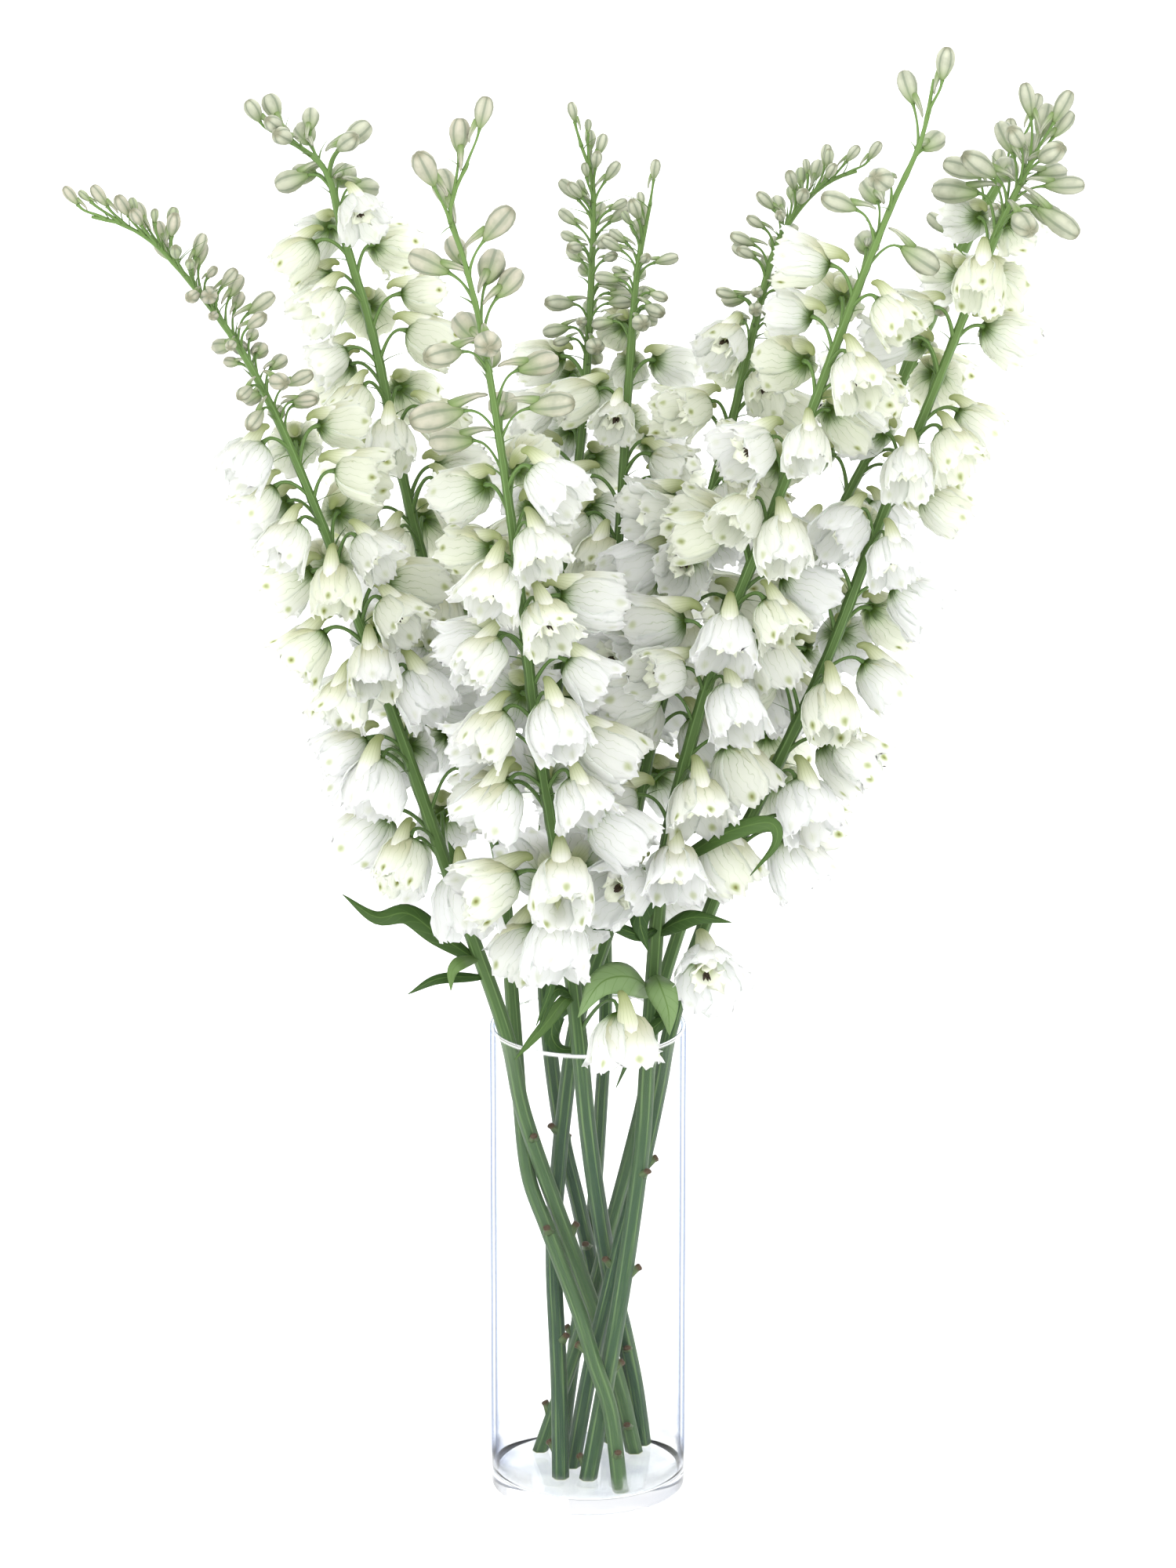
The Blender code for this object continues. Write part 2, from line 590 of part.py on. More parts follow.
def build_spike(name, stem, blooms, materials):
    """Join a spike's stem, leaves, florets and buds into one body."""
    body = mesh_object(name, *stem_solid(stem), materials)
    repeats = bpy.data.collections.new(f"{name}_repeats")
    bpy.context.scene.collection.children.link(repeats)
    solids = [leaf_solid(stem, *leaf) for owner, *leaf in LEAVES if owner == name]
    for item in blooms:
        shape = floret_solid if item["kind"] == "floret" else bud_solid
        solids.append(shape(sunk(item, stem)))
    for number, (points, faces, petal_from) in enumerate(solids):
        piece = mesh_object(f"{name}_{number}", points, faces, materials, petal_from)
        bpy.context.scene.collection.objects.unlink(piece)
        repeats.objects.link(piece)
    union = body.modifiers.new("union", "BOOLEAN")
    union.operation = "UNION"
    union.operand_type = "COLLECTION"
    union.collection = repeats
    union.solver = "EXACT"
    bpy.context.view_layer.update()
    whole = bpy.data.meshes.new_from_object(body.evaluated_get(bpy.context.evaluated_depsgraph_get()))
    body.modifiers.remove(union)
    body.data = whole
    for piece in list(repeats.objects):
        bpy.data.objects.remove(piece, do_unlink=True)
    bpy.data.collections.remove(repeats)


def main():
    for old in list(bpy.data.objects):
        bpy.data.objects.remove(old, do_unlink=True)
    build_vase()
    materials = [material("stem_green", (0.16, 0.30, 0.08), 0.55),
                 material("petal_white", (0.86, 0.88, 0.78), 0.5)]
    stems, placed = place_all()
    for name in SPIKES:
        build_spike(name, stems[name], placed[name], materials)


main()
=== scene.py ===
# %% [markdown]
# # Delphinium flower spikes in a glass vase
#
# Nine white delphinium spikes lean out of a clear glass cylinder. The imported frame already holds
# one plain body for each spike and one for the vase. Here each of them is replaced by finer pieces
# in the same places: ribbed stems, thin cupped petals, spurs, buds, leaves and polished glass.
# Lengths are in millimetres until a mesh is written, which is in metres like the frame.

# %% Load the frame
from itertools import product, zip_longest

import bpy
import numpy as np
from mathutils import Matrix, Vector


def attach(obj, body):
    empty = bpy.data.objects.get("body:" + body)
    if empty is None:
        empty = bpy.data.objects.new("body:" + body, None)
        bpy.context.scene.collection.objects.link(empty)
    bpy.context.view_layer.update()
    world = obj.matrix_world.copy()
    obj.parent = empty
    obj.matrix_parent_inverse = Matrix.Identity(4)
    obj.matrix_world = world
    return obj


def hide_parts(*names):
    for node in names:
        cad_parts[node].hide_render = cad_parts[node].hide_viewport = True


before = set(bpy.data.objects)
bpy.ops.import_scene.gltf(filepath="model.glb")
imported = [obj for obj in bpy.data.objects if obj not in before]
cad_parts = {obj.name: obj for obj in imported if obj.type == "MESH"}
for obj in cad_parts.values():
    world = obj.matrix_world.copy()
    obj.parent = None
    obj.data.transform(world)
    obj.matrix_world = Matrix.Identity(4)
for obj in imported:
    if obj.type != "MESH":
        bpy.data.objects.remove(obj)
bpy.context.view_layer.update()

METRES = 0.001

# %% [markdown]
# ## Helpers for node trees
#
# The light and every finish are trees of nodes. Each node could be made, set and wired on lines of
# its own. Here a few helpers do that in one call and are named for what they work out, so that a
# finish below reads like its recipe.

# %% Node helpers
def add(tree, kind, values=None, **settings):
    """A node with its settings made and its inputs given a value or linked to another's output."""
    node = tree.nodes.new(kind)
    for key, value in settings.items():
        setattr(node, key, value)
    for key, value in (values or {}).items():
        if isinstance(value, bpy.types.NodeSocket):
            tree.links.new(value, node.inputs[key])
        else:
            node.inputs[key].default_value = value
    return node


def colour(red, green, blue):
    """An opaque colour, in the linear values that shaders use."""
    return (red, green, blue, 1.0)


def blend(tree, share, first, second):
    """The colour this share of the way from the first to the second."""
    return add(tree, "ShaderNodeMix", {0: share, 6: first, 7: second}, data_type="RGBA").outputs[2]


def ramp(tree, value, low, high, first=0.0, last=1.0):
    """First where the value is low, last where it is high, and a smooth step between."""
    values = {"Value": value, "From Min": low, "From Max": high, "To Min": first, "To Max": last}
    return add(tree, "ShaderNodeMapRange", values, interpolation_type="SMOOTHSTEP").outputs["Result"]


def layers(tree, tint, rows):
    """Colours laid over the tint in turn. Each row gives a value, the low and the high end of its
    smooth step, the share of the colour at each end, and the colour."""
    for value, low, high, first, last, paint in rows:
        tint = blend(tree, ramp(tree, value, low, high, first, last), tint, paint)
    return tint


def maths(tree, operation, *values):
    """One sum on one, two or three values."""
    return add(tree, "ShaderNodeMath", dict(enumerate(values)), operation=operation).outputs[0]


def times(tree, first, second):
    """The first value multiplied by the second."""
    return maths(tree, "MULTIPLY", first, second)


def from_middle(tree, value):
    """How far the value is from a half."""
    return maths(tree, "ABSOLUTE", maths(tree, "SUBTRACT", value, 0.5))


def waves(tree, value, count):
    """|sin(pi count value)|: it falls to 0 on count + 1 even lines, as the value goes from 0 to 1."""
    return maths(tree, "ABSOLUTE", maths(tree, "SINE", times(tree, value, np.pi * count)))


def place_of(tree):
    """The place in the piece's own space, in metres."""
    return add(tree, "ShaderNodeTexCoord").outputs["Object"]


def height_of(tree):
    """The height above the floor, in metres."""
    return add(tree, "ShaderNodeSeparateXYZ", {0: place_of(tree)}).outputs["Z"]


def noise(tree, scale, detail=2.0, place=None):
    """Soft noise about 0.5, in space or at the place given."""
    if place is None:
        place = place_of(tree)
    return add(tree, "ShaderNodeTexNoise", {"Vector": place, "Scale": scale, "Detail": detail}).outputs["Fac"]


def grain_of(tree):
    """The map's U, across or around, and its V, along."""
    place = add(tree, "ShaderNodeUVMap", uv_map="grain").outputs["UV"]
    split = add(tree, "ShaderNodeSeparateXYZ", {0: place})
    return split.outputs["X"], split.outputs["Y"]


def chance_of(tree):
    """The chance stored at the mesh's points: one number for each flower, bud, stalk or leaf."""
    return add(tree, "ShaderNodeAttribute", attribute_name="chance", attribute_type="GEOMETRY").outputs["Fac"]


# %% [markdown]
# ## Camera, light and floor
#
# The photograph is high key: white all round, with a soft light that lets petals glow through. A
# long lens a few metres away looks slightly down. Most of the light could come from large lamps,
# but they leave the crowded bells dark between. So a white world gives it, brighter than the white
# that the camera sees, and three large, weak lamps add a soft bright side, a rim and a fill. Glass
# shows what it bends and mirrors, and its thin dark outlines come partly from the darker sides that
# it alone sees and partly from painted shade and reflection in its own finish.

# %% Camera
PHOTO_FOCAL = 8690.0
PHOTO_HEIGHT = 2000.0
SENSOR = 36.0
CAMERA_PLACE = (0.0, -3.95, 1.634)
CAMERA_TILT = 16.65

camera_data = bpy.data.cameras.new("camera")
camera_data.sensor_width = SENSOR
camera_data.lens = PHOTO_FOCAL / PHOTO_HEIGHT * SENSOR
camera_data.clip_end = 50.0
camera = bpy.data.objects.new("camera", camera_data)
camera.location = CAMERA_PLACE
camera.rotation_euler = (np.radians(90.0 - CAMERA_TILT), 0.0, 0.0)
bpy.context.scene.collection.objects.link(camera)
bpy.context.scene.camera = camera
print("lens, mm:", round(camera_data.lens, 1))

# %% Light
WHITE = colour(1.0, 1.0, 1.0)
SOFT_STRENGTH = 2.3
SEEN_STRENGTH = 1.055
SEEN_SIDE_STRENGTH = 0.34
SIDE_RANGE = (0.72, 0.95)
LAMP_TARGET = Vector((0.0, 0.0, 0.5))
LAMPS = (
    ("key", (-1.6, -2.2, 2.6), 2.2, 20.0),
    ("back", (1.2, 2.4, 1.8), 2.0, 20.0),
    ("fill", (0.2, -4.3, 2.0), 2.0, 60.0),
)

world = bpy.data.worlds.new("white_studio")
world.use_nodes = True
tree = world.node_tree
rays = add(tree, "ShaderNodeLightPath").outputs
way = add(tree, "ShaderNodeTexCoord").outputs["Generated"]
sideways = maths(tree, "ABSOLUTE", add(tree, "ShaderNodeSeparateXYZ", {0: way}).outputs["X"])
# The camera sees white all round, and only the glass sees the sides darker
beside = maths(tree, "SUBTRACT", sideways, rays["Is Camera Ray"])
white = ramp(tree, beside, *SIDE_RANGE, SEEN_STRENGTH, SEEN_SIDE_STRENGTH)
seen = maths(tree, "MAXIMUM", rays["Is Camera Ray"], rays["Is Transmission Ray"])
seen = maths(tree, "MAXIMUM", seen, rays["Is Glossy Ray"])
strength = add(tree, "ShaderNodeMapRange", {"Value": seen, "To Min": SOFT_STRENGTH, "To Max": white})
sky = tree.nodes["Background"].inputs
sky["Color"].default_value = WHITE
tree.links.new(strength.outputs["Result"], sky["Strength"])
bpy.context.scene.world = world
bpy.context.scene.view_settings.view_transform = "Standard"

for lamp_name, place, size, power in LAMPS:
    lamp_data = bpy.data.lights.new(lamp_name, "AREA")
    lamp_data.size = size
    lamp_data.energy = power
    lamp = bpy.data.objects.new(lamp_name, lamp_data)
    lamp.location = place
    lamp.rotation_euler = (LAMP_TARGET - Vector(place)).to_track_quat("-Z", "Y").to_euler()
    bpy.context.scene.collection.objects.link(lamp)
print("lamps:", [name for name, *_ in LAMPS])

# %% Floor
FLOOR_HALF = 6.0
FLOOR_DROP = -0.0005
FLOOR_PAINT = colour(0.78, 0.78, 0.78)
FLOOR_ROUGHNESS = 0.9
FLOOR_CORNERS = ((-1, -1), (1, -1), (1, 1), (-1, 1))

floor_mesh = bpy.data.meshes.new("floor")
floor_mesh.from_pydata([(x * FLOOR_HALF, y * FLOOR_HALF, FLOOR_DROP) for x, y in FLOOR_CORNERS],
                       [], [(0, 1, 2, 3)])
floor_paint = bpy.data.materials.new("floor_paint")
floor_paint.use_nodes = True
paint = floor_paint.node_tree.nodes["Principled BSDF"].inputs
paint["Base Color"].default_value = FLOOR_PAINT
paint["Roughness"].default_value = FLOOR_ROUGHNESS
floor_mesh.materials.append(floor_paint)
floor = bpy.data.objects.new("floor", floor_mesh)
bpy.context.scene.collection.objects.link(floor)
print("floor, m across:", 2 * FLOOR_HALF)

# %% [markdown]
# ## Where everything grows
#
# A delphinium spike is a raceme: one stem, with flowers that leave it a golden angle apart. The low
# ones are open bells on long stalks and the high ones are buds. The plan below is the one that the
# solids were grown from, with the same order of random draws, so every bell and bud made here sits
# on the place of its solid. Each one turns, lifts or shortens until it is clear of its neighbours.

# %% Sizes of the vase, stems, florets and buds
UP = np.array([0.0, 0.0, 1.0])
FRONT = np.array([0.0, -1.0, 0.0])
VASE_RADIUS = 60.0
VASE_HEIGHT = 300.0
VASE_WALL = 2.5
VASE_FLOOR = 9.0
GAP = 0.3
ROUTE_STEPS = 10
TIP_RADIUS = 0.9
NECK_RADIUS = 2.3
RIM_SHARE = 0.9
FULL_TURN = 2 * np.pi
FLORET_WIDTH = 35.0
FLORET_LENGTH = 39.0
FLORET_STALK = 34.0
BUD_WIDTH = 11.0
BUD_LENGTH = 19.0
BUD_STALK = 17.0
print("vase, mm:", 2 * VASE_RADIUS, "across and", VASE_HEIGHT, "high")

# %% The nine spikes and their leaves
# Heights are where the lowest floret, the first bud and the last bud leave the stem. Hung florets
# come before the rest: height, turn from the front, stalk, nod and width.
SPIKES = {
    "spike_a": {
        "route": [(29, 22, 9), (17, 17, 64), (-5, 10, 134), (-38, -2, 237), (-51, -9, 300),
                  (-83, -20, 399), (-123, -35, 525), (-166, -50, 651), (-202, -58, 733),
                  (-244, -65, 792), (-268, -68, 811), (-288, -70, 817)],
        "foot_radius": 5.0, "florets": 19, "buds": 15, "heights": (392, 672, 815),
        "size": 0.98, "bud_size": 0.9, "droop": 38, "start": 10, "hung": [],
    },
    "spike_b": {
        "route": [(20, -42, 9), (14, -40, 60), (4, -33, 90), (-4, -24, 115), (-14, -12, 140),
                  (-26, -3, 170), (-37, 6, 200), (-42, 14, 245), (-46, 21, 300), (-54, 40, 391),
                  (-72, 50, 450), (-98, 66, 563), (-115, 74, 636), (-129, 82, 706),
                  (-147, 88, 770), (-157, 90, 809), (-172, 90, 825), (-188, 90, 833)],
        "foot_radius": 4.6, "florets": 21, "buds": 7, "heights": (440, 780, 831),
        "size": 0.92, "bud_size": 1.0, "droop": 32, "start": 150, "hung": [],
    },
    "spike_c": {
        "route": [(34, 36, 9), (29, 31, 50), (22, 22, 90), (14, 6, 132), (6, -18, 190),
                  (0, -33, 241), (-5, -47, 300), (-12, -65, 374), (-19, -80, 438),
                  (-30, -100, 512), (-43, -120, 636), (-58, -140, 748),
                  (-70, -150, 807), (-78, -155, 832), (-76, -155, 848), (-68, -155, 866)],
        "foot_radius": 5.4, "florets": 19, "buds": 12, "heights": (352, 668, 863),
        "size": 1.04, "bud_size": 1.35, "droop": 36, "start": 80, "hung": [(308, 42, 50, 78, 38)],
    },
    "spike_d": {
        "route": [(14, 40, 9), (10, 36, 80), (2, 34, 130), (-6, 33, 170), (-17, 32, 222),
                  (-26, 37, 300), (-28, 62, 381), (-20, 98, 473), (-9, 125, 590), (-2, 140, 658),
                  (2, 155, 730), (3, 160, 787), (-5, 162, 815)],
        "foot_radius": 4.8, "florets": 17, "buds": 12, "heights": (430, 668, 812),
        "size": 0.92, "bud_size": 0.9, "droop": 30, "start": 230, "hung": [],
    },
    "spike_e": {
        "route": [(-16, 44, 9), (-6, 44, 90), (3, 44, 160), (8, 46, 230), (11, 49, 300),
                  (10, 75, 430), (14, 85, 513), (20, 100, 597), (25, 112, 677), (30, 118, 743),
                  (36, 120, 775), (38, 120, 786)],
        "foot_radius": 4.2, "florets": 13, "buds": 8, "heights": (470, 692, 784),
        "size": 0.88, "bud_size": 0.85, "droop": 30, "start": 20, "hung": [],
    },
    "spike_f": {
        "route": [(-17, -20, 9), (-18, -8, 70), (-21, 10, 130), (-21, 18, 165), (-19, 20, 190),
                  (-15, 17, 235), (-6, 13, 300), (14, 16, 362), (38, 24, 470), (72, 40, 614),
                  (87, 46, 668), (101, 52, 728), (113, 58, 772), (130, 60, 799), (147, 62, 812),
                  (161, 62, 817)],
        "foot_radius": 5.0, "florets": 17, "buds": 12, "heights": (420, 706, 815),
        "size": 0.95, "bud_size": 0.85, "droop": 32, "start": 300, "hung": [],
    },
    "spike_g": {
        "route": [(0, -22, 9), (12, -24, 80), (24, -32, 160), (33, -34, 235), (37, -31, 300),
                  (45, -34, 409), (61, -40, 489), (84, -46, 568), (109, -50, 635), (130, -54, 694),
                  (155, -58, 765), (175, -60, 818), (193, -60, 860), (200, -60, 896)],
        "foot_radius": 5.2, "florets": 20, "buds": 7, "heights": (372, 765, 894),
        "size": 1.0, "bud_size": 1.25, "droop": 30, "start": 200, "hung": [],
    },
    "spike_h": {
        "route": [(-10, -2, 9), (2, -8, 80), (14, -14, 135), (22, -16, 170), (34, -12, 215),
                  (44, -6, 262), (51, -3, 300), (67, -4, 354), (90, -8, 415), (115, -10, 470),
                  (143, -13, 534), (173, -17, 618), (198, -18, 683), (221, -20, 745),
                  (243, -20, 803), (264, -20, 848)],
        "foot_radius": 4.8, "florets": 20, "buds": 11, "heights": (412, 790, 847),
        "size": 0.97, "bud_size": 1.35, "droop": 34, "start": 40, "hung": [(338, 12, 26, 18, 38)],
    },
    "spike_i": {
        "route": [(-30, 24, 9), (-10, 24, 70), (2, 23, 110), (12, 25, 150), (26, 28, 205),
                  (36, 30, 250), (42, 31, 300), (64, 46, 370), (101, 66, 482), (150, 86, 592),
                  (176, 95, 644), (199, 102, 697), (227, 108, 758), (250, 110, 802),
                  (264, 110, 828)],
        "foot_radius": 4.4, "florets": 14, "buds": 8, "heights": (450, 680, 824),
        "size": 0.9, "bud_size": 0.95, "droop": 32, "start": 100, "hung": [],
    },
}

# The spike that carries each leaf, the height where it leaves the stem, its mid-line, its width, and
# how light its green is
LEAVES = [
    ("spike_a", 343, [(-90, -24, 364), (-109, -30, 380), (-128, -34, 379), (-148, -36, 394)], 13.0, 0.35),
    ("spike_a", 334, [(-90, -28, 338), (-109, -34, 330)], 6.0, 0.2),
    ("spike_g", 408, [(66, -55, 429), (84, -70, 444), (108, -75, 451), (112, -73, 438),
                      (97, -68, 416)], 10.0, 0.5),
    ("spike_g", 368, [(53, -48, 380), (66, -56, 386), (86, -60, 384)], 11.0, 0.3),
    ("spike_g", 404, [(37, -50, 402), (31, -58, 386), (36, -60, 366)], 16.0, 0.15),
    ("spike_g", 330, [(26, -62, 350), (8, -78, 352), (-6, -84, 332)], 22.0, 1.9),
    ("spike_c", 384, [(-25, -86, 390), (-36, -92, 374)], 6.0, 0.3),
    ("spike_c", 336, [(-20, -76, 346), (-30, -82, 322)], 7.0, 0.2),
    ("spike_f", 356, [(22, -6, 376), (26, -14, 396)], 12.0, 0.4),
]

# Smaller leaves near the rim that the solids leave out
SMALL_LEAVES = [
    ("spike_c", 335, [(-14, -66, 337), (-24, -70, 325), (-35, -68, 311), (-44, -66, 299)], 7.0, 0.5),
    ("spike_c", 372, [(-20, -84, 364), (-23, -86, 349), (-31, -82, 326)], 5.5, 0.15),
    ("spike_c", 328, [(-18, -42, 321), (-22, -38, 306), (-16, -34, 295), (0, -30, 294)], 10.0, 0.05),
    ("spike_c", 394, [(-16, -84, 391), (-25, -90, 385), (-33, -92, 377)], 6.0, 0.35),
    ("spike_g", 372, [(31, -56, 375), (15, -62, 382), (3, -62, 380)], 7.0, 0.15),
    ("spike_g", 342, [(43, -60, 345), (48, -68, 332), (49, -64, 314)], 17.0, 1.7),
    ("spike_g", 318, [(46, -42, 318), (38, -46, 311), (28, -44, 299), (17, -40, 272)], 7.5, 0.2),
    ("spike_a", 347, [(-76, -34, 351), (-82, -38, 346), (-83, -36, 333)], 8.0, 1.3),
    ("spike_a", 378, [(-74, -36, 400), (-79, -42, 416), (-84, -44, 430)], 8.5, 0.4),
    ("spike_g", 414, [(60, -40, 420), (66, -46, 411), (68, -46, 391)], 4.5, 0.2),
]
print("spikes:", len(SPIKES), "leaves:", len(LEAVES) + len(SMALL_LEAVES))

# %% [markdown]
# ### Stems and stalks as curves
#
# A stem is a smooth curve through a few chosen points, so Catmull-Rom spans suit it: each span
# passes through its two points and is led by their neighbours. Straight pieces would show their
# corners under the ribs.

# %% Curves
STEM_NEAR = 2.0


def unit(v):
    """The same direction with length one, for one vector or a whole array of them."""
    return v / np.linalg.norm(v, axis=-1, keepdims=True)


def span(a, b, c, d, t):
    """Catmull-Rom: from b at t = 0 to c at t = 1, with the slope at each half the way past it.

    The point is half of 2b + (c - a) t + (2a - 5b + 4c - d) t^2 + (3b - a - 3c + d) t^3.
    """
    return 0.5 * (2 * b + (c - a) * t + (2 * a - 5 * b + 4 * c - d) * t**2
                  + (3 * b - a - 3 * c + d) * t**3)


def smooth_route(route, per_span=ROUTE_STEPS):
    """A smooth curve through the route's points, each span led by the points beside it."""
    p = np.array(route, float)
    p = np.vstack([2 * p[0] - p[1], p, 2 * p[-1] - p[-2]])
    t = np.linspace(0, 1, per_span, endpoint=False)[:, None]
    return np.vstack([*(span(*four, t) for four in zip(p, p[1:], p[2:], p[3:])), p[-2:-1]])


def running_length(points):
    """The length of the line up to each of its points."""
    return np.concatenate([[0], np.cumsum(np.linalg.norm(np.diff(points, axis=0), axis=1))])


def stem_of(spike):
    """The stem's mid-line, its running length, and its radius at any length."""
    points = smooth_route(spike["route"])
    length = running_length(points)
    rim, budding = np.interp((VASE_HEIGHT, spike["heights"][1]), points[:, 2], length)
    foot = spike["foot_radius"]
    keys = ((0, foot), (rim, foot * RIM_SHARE), (budding, NECK_RADIUS), (length[-1], TIP_RADIUS))
    return {"points": points, "length": length, "keys": np.array(keys), "knots": points[::ROUTE_STEPS]}


def lengths_at(stem, heights):
    """The running lengths at which the stem passes these heights."""
    return np.interp(heights, stem["points"][:, 2], stem["length"])


def along_stem(stem, s):
    """The stem's point at running length s, for one length or an array."""
    return np.stack([np.interp(s, stem["length"], stem["points"][:, i]) for i in range(3)], axis=-1)


def stem_at(stem, s):
    """Point and direction of the stem at running length s."""
    return along_stem(stem, s), unit(along_stem(stem, s + STEM_NEAR) - along_stem(stem, s - STEM_NEAR))


def leaf_root(stem, height):
    """The middle of the stem at this height."""
    return np.array([np.interp(height, stem["knots"][:, 2], stem["knots"][:, i]) for i in range(3)])


def stem_radius(stem, s):
    """Radius at running length s, straight between the keys."""
    return np.interp(s, stem["keys"][:, 0], stem["keys"][:, 1])


def outward(along, turn):
    """The direction square to the stem at this turn: cos(turn) front + sin(turn) side."""
    side = unit(np.cross(along, FRONT))
    front = np.cross(side, along)
    return np.cos(turn) * front + np.sin(turn) * side


def grow(ends, share):
    """The value this share of the way from the first of two ends to the second."""
    return ends[0] + (ends[1] - ends[0]) * share


# %% [markdown]
# ### Stalks and heads
#
# A flower stalk leaves its stem upwards, bends out and ends in a nodding head. A curve drawn by
# hand for each of about 450 stalks would be slow work. One Bezier bend, with its two ends and the
# way that it leaves and arrives worked out from the slot, gives all of them.

# %% Stalks and heads
# A stalk's way up for a floret and for a bud, its way out, and how its bend is led at both ends
START_RISE = 2
FLORET_LIFT = 0.62
BUD_LIFT = 0.75
STALK_OUT = 0.66
ROOT_LEAD = 0.45
HEAD_LEAD = 0.38
RISE_ALONG_STEM = 0.55
STALK_POINTS = 7


def arch(root, start, neck, end, count):
    """A Bezier bend from root, leaving along start, to neck, arriving along end."""
    reach = np.linalg.norm(neck - root)
    a = root + ROOT_LEAD * reach * start
    b = neck - HEAD_LEAD * reach * end
    t = np.linspace(0, 1, count)[:, None]
    return (1 - t) ** 3 * root + 3 * t * (1 - t) ** 2 * a + 3 * t**2 * (1 - t) * b + t**3 * neck


def bloom(stem, slot):
    """Place one floret or bud: its stalk rises from the stem and arches over to the nodding head.

    Lead turns it from square to the stem, at 0, to straight on from the stem's tip, at 1. The turn
    about the stem is the slot's turn + sway sin(turn), which leaves the front of the stem more bare.
    The nod is the slot's nod + dip cos(turn) on the front half, so those florets hang lower.
    """
    s = slot["s"]
    root, along = stem_at(stem, s)
    turn = slot["turn"] + slot["sway"] * np.sin(slot["turn"])
    nod = slot["nod"] + slot["dip"] * max(0.0, np.cos(turn))
    out = unit((1 - slot["lead"]) * outward(along, turn) + slot["lead"] * along)
    rise = unit(RISE_ALONG_STEM * along + (1 - RISE_ALONG_STEM) * UP)
    lift = FLORET_LIFT if slot["kind"] == "floret" else BUD_LIFT
    neck = root + slot["stalk"] * (lift * rise + STALK_OUT * out) + out * stem_radius(stem, s)
    axis = unit(np.cos(nod) * out - np.sin(nod) * UP)
    path = arch(root, unit(START_RISE * rise + out), neck, axis, STALK_POINTS)
    top = unit(UP + rise - axis * np.dot(UP + rise, axis))
    return {**slot, "path": path, "axis": axis, "top": top}


# %% [markdown]
# ### Keeping florets clear of each other
#
# Real florets push each other aside as they open. Meshes could be tested against each other, but
# that is slow, so each head, spur, stalk and stem is tested as a few balls. A slot tries its own
# turn first, then turns, nods and stalk lengths further away, and takes the first place with room.

# %% Clearance
SPUR_LENGTH = 14.0
STALK_RADIUS = 1.3
NEAR_POINTS = 3
SPUR_RISE = 0.3
HEAD_BALLS = ((0.28, 0.36), (0.58, 0.49), (0.86, 0.52))
SPUR_BALL = 2.5
SPUR_BALL_SHARE = 0.7
STEM_BALL_STEP = 4.0
STEM_MARGIN = 0.4
LEAF_BALL_SHARE = 0.34
TURNS = np.radians([0, 20, -20, 42, -42, 66, -66, 92, -92, 120, -120, 150, -150, 180])
STALK_FACTORS = (1.0, 1.3, 0.75)
NOD_CHANGES = np.radians([0.0, 22.0, -30.0])
CLEAR_OF_OTHERS = 1.2
CLEAR_OF_OWN = 0.6


def balls_of(item):
    """Balls that hold the head, its spur and its stalk, and those of the stalk near its own stem."""
    neck, d, w, n = item["path"][-1], item["axis"], item["width"], item["length"]
    heads = [(neck + along * n * d, across * w) for along, across in HEAD_BALLS]
    if item["kind"] == "floret":
        spur = SPUR_LENGTH * w / FLORET_WIDTH
        heads.append((neck - SPUR_BALL_SHARE * spur * d + SPUR_RISE * w * item["top"], SPUR_BALL))
    stalk = [(p, STALK_RADIUS) for p in item["path"][NEAR_POINTS:-1]]
    near = [(p, STALK_RADIUS) for p in item["path"][1:NEAR_POINTS]]
    return heads + stalk, near


class Space:
    """Balls for everything placed so far, each with the number of the spike it belongs to."""

    def __init__(self):
        self.centres = np.zeros((0, 3))
        self.radii = np.zeros(0)
        self.owners = np.zeros(0, int)

    def add(self, balls, owner):
        """Keep these balls, each a centre and a radius, under their owner's number."""
        self.centres = np.vstack([self.centres, [c for c, _ in balls]])
        self.radii = np.append(self.radii, [r for _, r in balls])
        self.owners = np.append(self.owners, [owner] * len(balls))

    def room(self, balls, owner, own):
        """Least clearance of these balls from the other spikes' balls, or from the owner's."""
        mask = (self.owners == owner) if own else (self.owners != owner)
        if not mask.any():
            return np.inf
        c = np.array([c for c, _ in balls])
        r = np.array([r for _, r in balls])
        gaps = np.linalg.norm(c[:, None] - self.centres[mask], axis=2) - r[:, None] - self.radii[mask]
        return gaps.min()


def glass_room(balls):
    """Least clearance of the balls from the vase's wall."""
    c = np.array([c for c, _ in balls])
    r = np.array([r for _, r in balls])
    across = np.abs(np.hypot(c[:, 0], c[:, 1]) - (VASE_RADIUS - VASE_WALL / 2))
    above = np.maximum(c[:, 2] - VASE_HEIGHT, 0)
    return (np.hypot(across, above) - r).min() - VASE_WALL / 2


def try_places(space, stem, owner, slot):
    """The first turn, stalk and nod at which this slot's bloom is clear of all that stands already."""
    for factor, change, turn in product(STALK_FACTORS, NOD_CHANGES, TURNS):
        item = bloom(stem, {**slot, "turn": slot["turn"] + turn, "nod": slot["nod"] + change,
                            "stalk": slot["stalk"] * factor})
        head, near = balls_of(item)
        if (space.room(head, owner, True) >= CLEAR_OF_OWN
                and space.room(head + near, owner, False) >= CLEAR_OF_OTHERS
                and glass_room(head + near) > CLEAR_OF_OTHERS):
            return item, head + near
    return None, None


# %% [markdown]
# ### Slots, and filling in
#
# A slot is a wish: how far up the stem a floret or bud leaves it, and at what turn. The first slots
# are those of the solids, which hold only part of the flowers. Once their places are found again, a
# second round of smaller florets and buds tries the gaps between them, and a third round sets small
# young buds near the tips, all with the same clearance test.

# %% Slots of a spike
GOLDEN_ANGLE = np.radians(137.508)
OPEN_SHARE = 0.3

